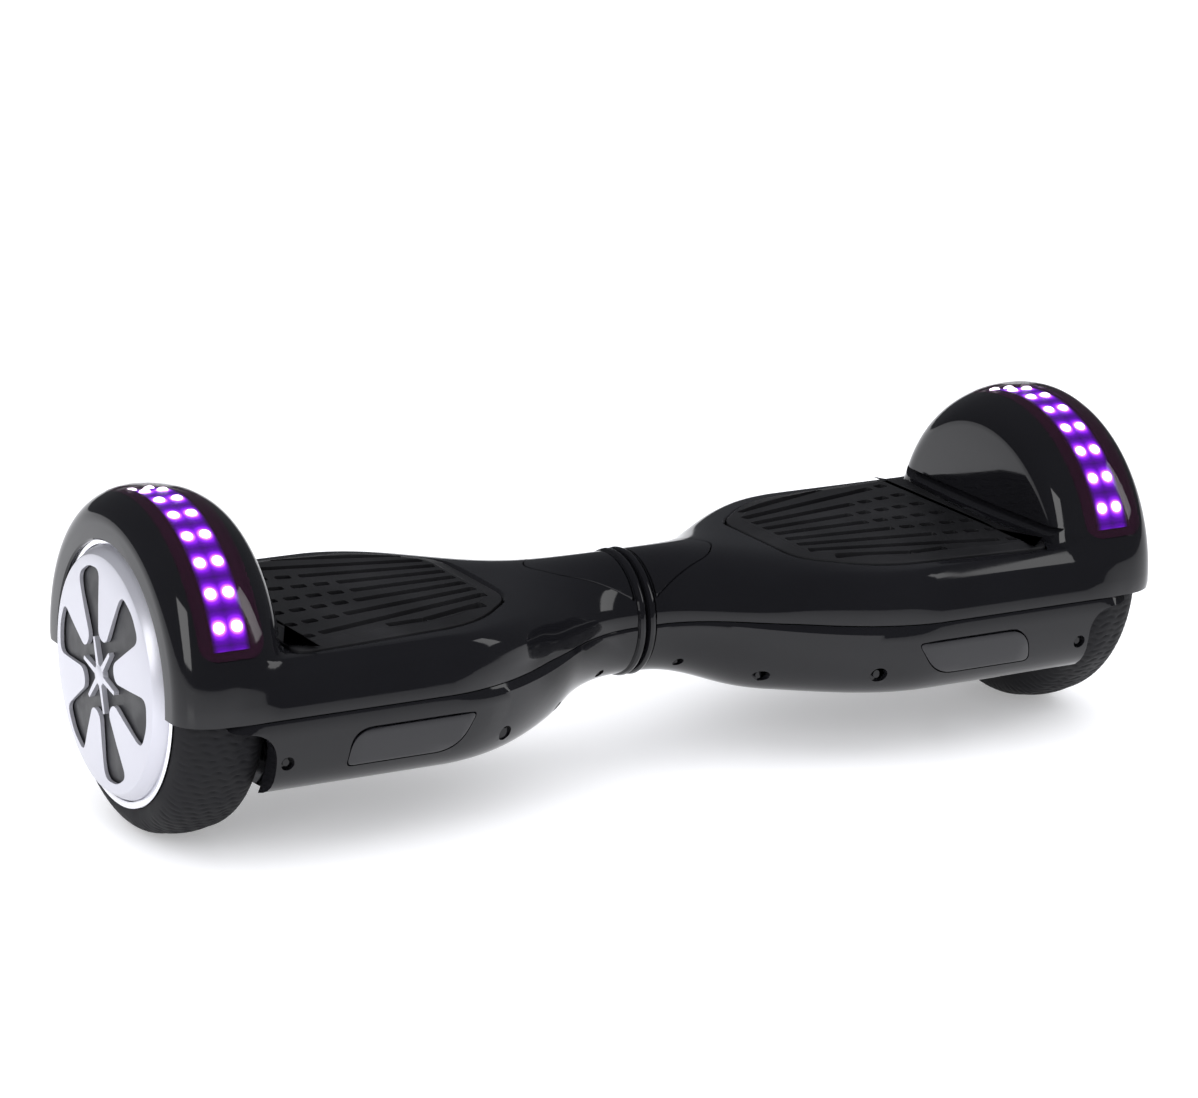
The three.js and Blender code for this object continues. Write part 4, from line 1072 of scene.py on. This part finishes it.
def slot_cutters():
    cutters = []
    for row, (start, end) in SLOT_ENDS.items():
        cuts = [start] + [x + side * BRIDGE / 2 for x in BRIDGES.get(row, ()) for side in (-1, 1)] + [end]
        for a, b in zip(cuts[::2], cuts[1::2]):
            if b - a < SHORTEST_CELL:
                continue
            if row == -4:
                bend = (146, slot_line(row, 146))
                cutters.append(((a, slot_line(row, a)), bend))
                cutters.append((bend, (b, bend[1] - 0.6)))
            else:
                cutters.append(((a, slot_line(row, a)), (b, slot_line(row, b))))
    return cutters


MAT_THICKNESS = 5.8


def footpad():
    mat = raised("mat", pad_outline(0, 10), "Z", (PAD_TOP - MAT_THICKNESS, PLATEAU - 2.1))
    pick(mat, "FACE", lambda face: face.normal.z > 0.9)
    for width, rise in ((0.6, 0.5), (7.0, 1.3), (0.9, 0.3)):
        bpy.ops.mesh.inset(thickness=width * MM, use_even_offset=True)
        bpy.ops.transform.translate(value=(0, 0, rise * MM))
    leave()
    finish_mesh(mat)
    for start, end in slot_cutters():
        outline = stadium(start, end, SLOT_WIDTH)
        cutter = raised("slot", outline, "Z", (PLATEAU - SLOT_DEPTH, PLATEAU + 1))
        carve(mat, cutter)
    rounded(mat, 0.2, 1, 50)
    return finish_mesh(mat, 40)


pad = footpad()
print("mat faces:", len(pad.data.polygons), "top", max(v.co.z for v in pad.data.vertices) / MM)
both_halves(pad, "ribbed_mat", pad_rubber, "pad", "footpad_rubber", "footpad")

# %% [markdown]
# ## Lenses and lights
# Each fender carries two columns of violet lights on a curved board. The light that the smoked lens scatters
# round every light is painted on the board: its finish emits a painted glow, bright near the lights and deep
# violet between them.

# %% Fender lens
both_halves(fender_patch("lens", 0.0, 0.0, 1.6), "smoked_lens", lens_smoke, "half", "smoked_lens",
    "fender_lens")

# %% Light board with its lights
BOARD_MIDDLE = (BOARD_START + BOARD_END) / 2
LED_ASIDE = 4.75
LED_PITCH, LED_FIRST, LED_ROWS = 11.3, 61.5, 8

# The light board's finish: its own dark violet, with a painted glow of emission round each light.
board_painted_glow = Finish("board_painted_glow", Specular_IOR_Level=0.3, Emission_Strength=1.0)
x_m, y_m, z_m = board_painted_glow.xyz()
from_middle = (x_m.apply("ABSOLUTE") - BOARD_MIDDLE * MM).apply("ABSOLUTE")
beside = from_middle - LED_ASIDE * MM
lean = (z_m - AXLE_Z * MM).apply("ARCTAN2", y_m * -1.0)
step_angle = math.radians(LED_PITCH)
first_angle = math.radians(90 - LED_FIRST)
around = ((lean - first_angle + step_angle / 2) % step_angle - step_angle / 2) * (BOARD_RADIUS * MM)
away = (beside ** 2.0 + around ** 2.0) ** 0.5
# Painted glow: this emission round each light stands in for the light that the smoked lens scatters onto the
# board.
halo = board_painted_glow.ramp(board_painted_glow.window(away, 0.0, 0.0100), [
    (0.0, (9.0, 4.0, 12.0)), (0.30, (6.0, 1.6, 10.0)), (0.44, (1.6, 0.08, 5.2)), (0.66, (0.42, 0.0, 1.9)),
    (1.0, (0.12, 0.0, 0.62))])
board_edge = board_painted_glow.window(from_middle, 0.0072, 0.0097)
glow = board_painted_glow.blend(board_edge, halo, (0.02, 0.0, 0.06))
board_painted_glow.colour((0.02, 0.0, 0.05))
board_painted_glow.roughness(board_painted_glow.window(board_painted_glow.noise(60.0), 0.3, 0.7, 0.4, 0.6))
board_painted_glow.feed(board_painted_glow.shader.inputs["Emission Color"], glow)

led_core = Finish("led_core", Emission_Strength=16.0)
led_core.colour((0.9, 0.8, 1.0))
led_core.feed(led_core.shader.inputs["Emission Color"],
    led_core.blend(led_core.noise(300.0), (1.0, 0.82, 1.0), (1.0, 0.88, 1.0)))


def light_board():
    board = turned("board", [
        (BOARD_START, BOARD_RADIUS - 1), (BOARD_START, BOARD_RADIUS), (BOARD_END, BOARD_RADIUS),
        (BOARD_END, BOARD_RADIUS - 1)],
        AXLE_Z, 60, LENS_FRONT - LENS_BACK - 6, LENS_BACK + 3)
    return rounded(board, 0.25, 1)


def led_beads():
    """One bead is modelled, a short round can with a dome, and copied to every place on the board."""
    bpy.ops.mesh.primitive_uv_sphere_add(segments=20, ring_count=10, radius=2.9 * MM)
    bead = named("bead")
    pick(bead, "VERT", lambda vertex: vertex.co.z < -1e-6)
    bpy.ops.mesh.delete(type="VERT")
    leave()
    pick(bead, "EDGE", lambda edge: all(abs(bead.data.vertices[i].co.z) < 1e-6 for i in edge.vertices))
    bpy.ops.mesh.edge_face_add()
    leave()
    bead.data.transform(Matrix.Diagonal((1, 1, 0.5, 1)))
    beads = []
    for row in range(LED_ROWS):
        for x in (BOARD_MIDDLE - LED_ASIDE, BOARD_MIDDLE + LED_ASIDE):
            one = copy_of(bead, f"bead_{row}_{int(x)}")
            lean_back = math.radians(LED_FIRST - row * LED_PITCH)
            one.data.transform(Matrix.Translation((x * MM, 0, (BOARD_RADIUS + 0.02) * MM)))
            one.data.transform(Matrix.Translation((0, 0, AXLE_Z * MM)) @ Matrix.Rotation(lean_back, 4, "X"))
            beads.append(one)
    bpy.data.objects.remove(bead)
    return finish_mesh(joined(beads, "beads"))


both_halves(light_board(), "light_board", board_painted_glow, "half", "circuit_board", "fender_led_board")
both_halves(led_beads(), "light_beads", led_core, "half", "circuit_board")

# %% Headlight lens
def headlight():
    lens = copy_of(lower_body, "headlight")
    carve(lens, copy_of(cavity, "cavity_copy"))
    carve(lens, raised("headlight_zone", headlight_outline(0), "Y", (-140, 0)), operation="INTERSECT")
    return finish_mesh(rounded(lens, 0.3, 2, 60))


both_halves(headlight(), "headlight_cover", headlight_smoke, "half", "headlight_smoke", "headlight_lens")

# %% [markdown]
# ## Tyre
# A small solid tyre: a smooth sidewall, round shoulders, and a tread of fine wavy grooves across it. The
# tyre is one ring of profile points spun round the axle, and then each point of the tread is lowered where
# a groove runs.

# %% Tyre
TREAD_GROOVES, GROOVE_DEPTH, STEPS_PER_GROOVE = 120, 0.8, 6


def tyre():
    middle, half = (TYRE_INNER + TYRE_OUTER) / 2, (TYRE_OUTER - TYRE_INNER) / 2
    lip, bead = 68.9, 58.3
    side = [(-half + 3.7, bead), (-half + 3.7, lip - 1), (-half, lip)]
    shoulder = 14.0
    for i in range(13):
        turn = math.pi / 2 * i / 12
        side.append((-half + shoulder * (1 - math.cos(turn)),
            TYRE_RADIUS - 1.2 - shoulder + shoulder * math.sin(turn)))
    crown = [(-half + shoulder + (half - shoulder) * i / 9, TYRE_RADIUS - 1.2 * (1 - i / 9) ** 2)
        for i in range(1, 10)]
    left = side + crown
    profile = [(middle + x, r) for x, r in left] + [(middle - x, r) for x, r in reversed(left[:-1])]
    ring = turned("tyre", profile, AXLE_Z, TREAD_GROOVES * STEPS_PER_GROOVE)
    for vertex in ring.data.vertices:
        x, y, z = vertex.co.x / MM - middle, vertex.co.y / MM, vertex.co.z / MM - AXLE_Z
        radius = math.hypot(y, z)
        tread = clamp01((radius - 74.5) / 2.0)
        if tread <= 0:
            continue
        angle = math.atan2(z, y)
        wave = math.sin(x * 0.55 + math.sin(angle * 10) * 0.8) * 0.011
        phase = ((angle + wave) * TREAD_GROOVES / (2 * math.pi)) % 1.0
        across = 1 - clamp01(abs(phase - 0.5) / 0.22)
        broken = 0.55 + 0.45 * math.sin(x * 0.8 + angle * 37)
        sink = GROOVE_DEPTH * tread * across * broken
        vertex.co.y -= y / radius * sink * MM
        vertex.co.z -= z / radius * sink * MM
    return finish_mesh(ring, 50)


both_halves(tyre(), "solid_tyre", tyre_rubber, "wheel", "tyre_rubber", "tyre")

# %% [markdown]
# ## Hub
# The hub's silver cover has six petal-shaped windows with a charcoal panel behind them and a thin star at
# its centre, inside a polished lip. Cover, panel and star are outlines raised and turned; the petals are
# cut with rounded edges.

# %% Hub cover, panel and star
PETALS, PETAL_TIP, FINGER_TIP = 6, 54.0, 20.0
RECESS = 1.9
REST_ANGLE = -18.0
FACE_START = span("right_hub_cover", 0)[0]
FACE_TOP = COVER_TOP - 1.2


def polar(radius, degrees):
    angle = math.radians(90 + degrees)
    return radius * math.cos(angle), AXLE_Z + radius * math.sin(angle)


def petal_window(grow=0.0):
    corners = []
    for i in range(PETALS):
        middle = REST_ANGLE + i * 360 / PETALS
        corners += [(*polar(PETAL_TIP + grow, middle - 15), 6), (*polar(PETAL_TIP + 1.5 + grow, middle), 5),
                    (*polar(PETAL_TIP + grow, middle + 15), 6),
                    (*polar(FINGER_TIP - grow, middle + 16.5), 4.6),
                    (*polar(FINGER_TIP - grow, middle + 43.5), 4.6)]
    return corner_arcs(corners, 8)


def hub_cover():
    dome = turned("hub_dome", [
        (FACE_START, 0), (FACE_START, 64.6), (FACE_START + 1.2, 64.2), (FACE_TOP - 3.0, 61.2),
        (FACE_TOP - 1.9, 60.2),
        (FACE_TOP - 1.4, 58.5), (FACE_TOP - 0.5, 48), (FACE_TOP + 0.2, 36), (FACE_TOP + 0.8, 20),
        (FACE_TOP + 1.2, 0)], AXLE_Z, 128)
    inside = turned("hub_inside", [
        (FACE_START - 1, 0), (FACE_START - 1, 60.5), (FACE_TOP - RECESS - 1.6, 58.4),
        (FACE_TOP - RECESS, 44), (FACE_TOP - RECESS + 0.8, 0)],
        AXLE_Z, 96)
    window = raised("window", petal_window(), "X", (FACE_START - 1, COVER_TOP + 5))
    carve(dome, inside, window)
    return finish_mesh(rounded(dome, 0.5, 2, 55), 35)


def hub_lip():
    """The polished ring round the cover."""
    return turned("lip", [
        (FACE_START, 64.8), (FACE_START, 68.2), (FACE_START + 0.5, 68.5), (FACE_START + 1.1, 68.2),
        (FACE_START + 1.5, 67.4),
        (FACE_START + 1.3, 66.0), (FACE_START + 0.9, 65.0)], AXLE_Z, 160)


def hub_panel():
    panel = turned("panel", [
        (FACE_START, 0), (FACE_START, 57.5), (FACE_TOP - RECESS - 2.2, 57.2), (FACE_TOP - RECESS - 0.6, 44),
        (FACE_TOP - RECESS - 0.1, 20), (FACE_TOP - RECESS, 0)], AXLE_Z, 96)
    return panel


def hub_star():
    outline = []
    for i in range(PETALS):
        middle = REST_ANGLE + i * 360 / PETALS
        outline += [(*polar(5.2, middle - 17), 0.4), (*polar(19.5, middle - 3), 0.5),
            (*polar(19.5, middle + 3), 0.5),
                    (*polar(5.2, middle + 17), 0.4)]
    foot = FACE_TOP - RECESS + 0.05
    star = raised("star", corner_arcs(outline, 3), "X", (foot, FACE_TOP + 0.9))
    boss = turned("boss", [
        (foot, 0), (foot, 5.8), (FACE_TOP + 0.7, 5.4), (FACE_TOP + 1.2, 4.4), (FACE_TOP + 1.2, 0)], AXLE_Z,
        48)
    carve(star, boss, operation="UNION")
    return finish_mesh(rounded(star, 0.4, 2, 50), 35)


both_halves(hub_cover(), "hub_plate", hub_silver, "wheel", "hub_silver", "hub_cover")
both_halves(hub_lip(), "hub_ring", lip_silver, "wheel", "rim_aluminium")
both_halves(hub_panel(), "hub_back", hub_charcoal, "wheel", "hub_charcoal", "hub_panel")
both_halves(hub_star(), "hub_centre_star", hub_silver, "wheel", "hub_silver", "hub_star")

# %% [markdown]
# ## Nodes that keep their shape
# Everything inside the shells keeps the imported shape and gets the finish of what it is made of.

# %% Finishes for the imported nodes
FINISH_OF_SLOT = {
    "shell_gloss_black": gloss_black, "footpad_rubber": pad_rubber, "smoked_lens": lens_smoke,
    "headlight_smoke": headlight_smoke, "circuit_board": circuit, "cast_aluminium": cast_metal,
    "machined_steel": turned_steel, "copper_winding": copper_wire, "magnet_grey": magnet_plate,
    "tyre_rubber": tyre_rubber, "rim_aluminium": lip_silver, "hub_silver": hub_silver,
    "hub_charcoal": hub_charcoal, "soft_black": soft_black, "battery_wrap": battery_wrap,
}
for part in frame["record"]["subparts"]:
    for place in frame["nodes"][part["node"]].material_slots:
        place.material = FINISH_OF_SLOT[part["material_slot"]].material
for name, node in frame["nodes"].items():
    if not node.hide_render:
        print("kept:", name, [place.material.name for place in node.material_slots])

# %% Clear away the bodies that everything was cut from
for spare in (upper_body, lower_body, cavity):
    bpy.data.objects.remove(spare)
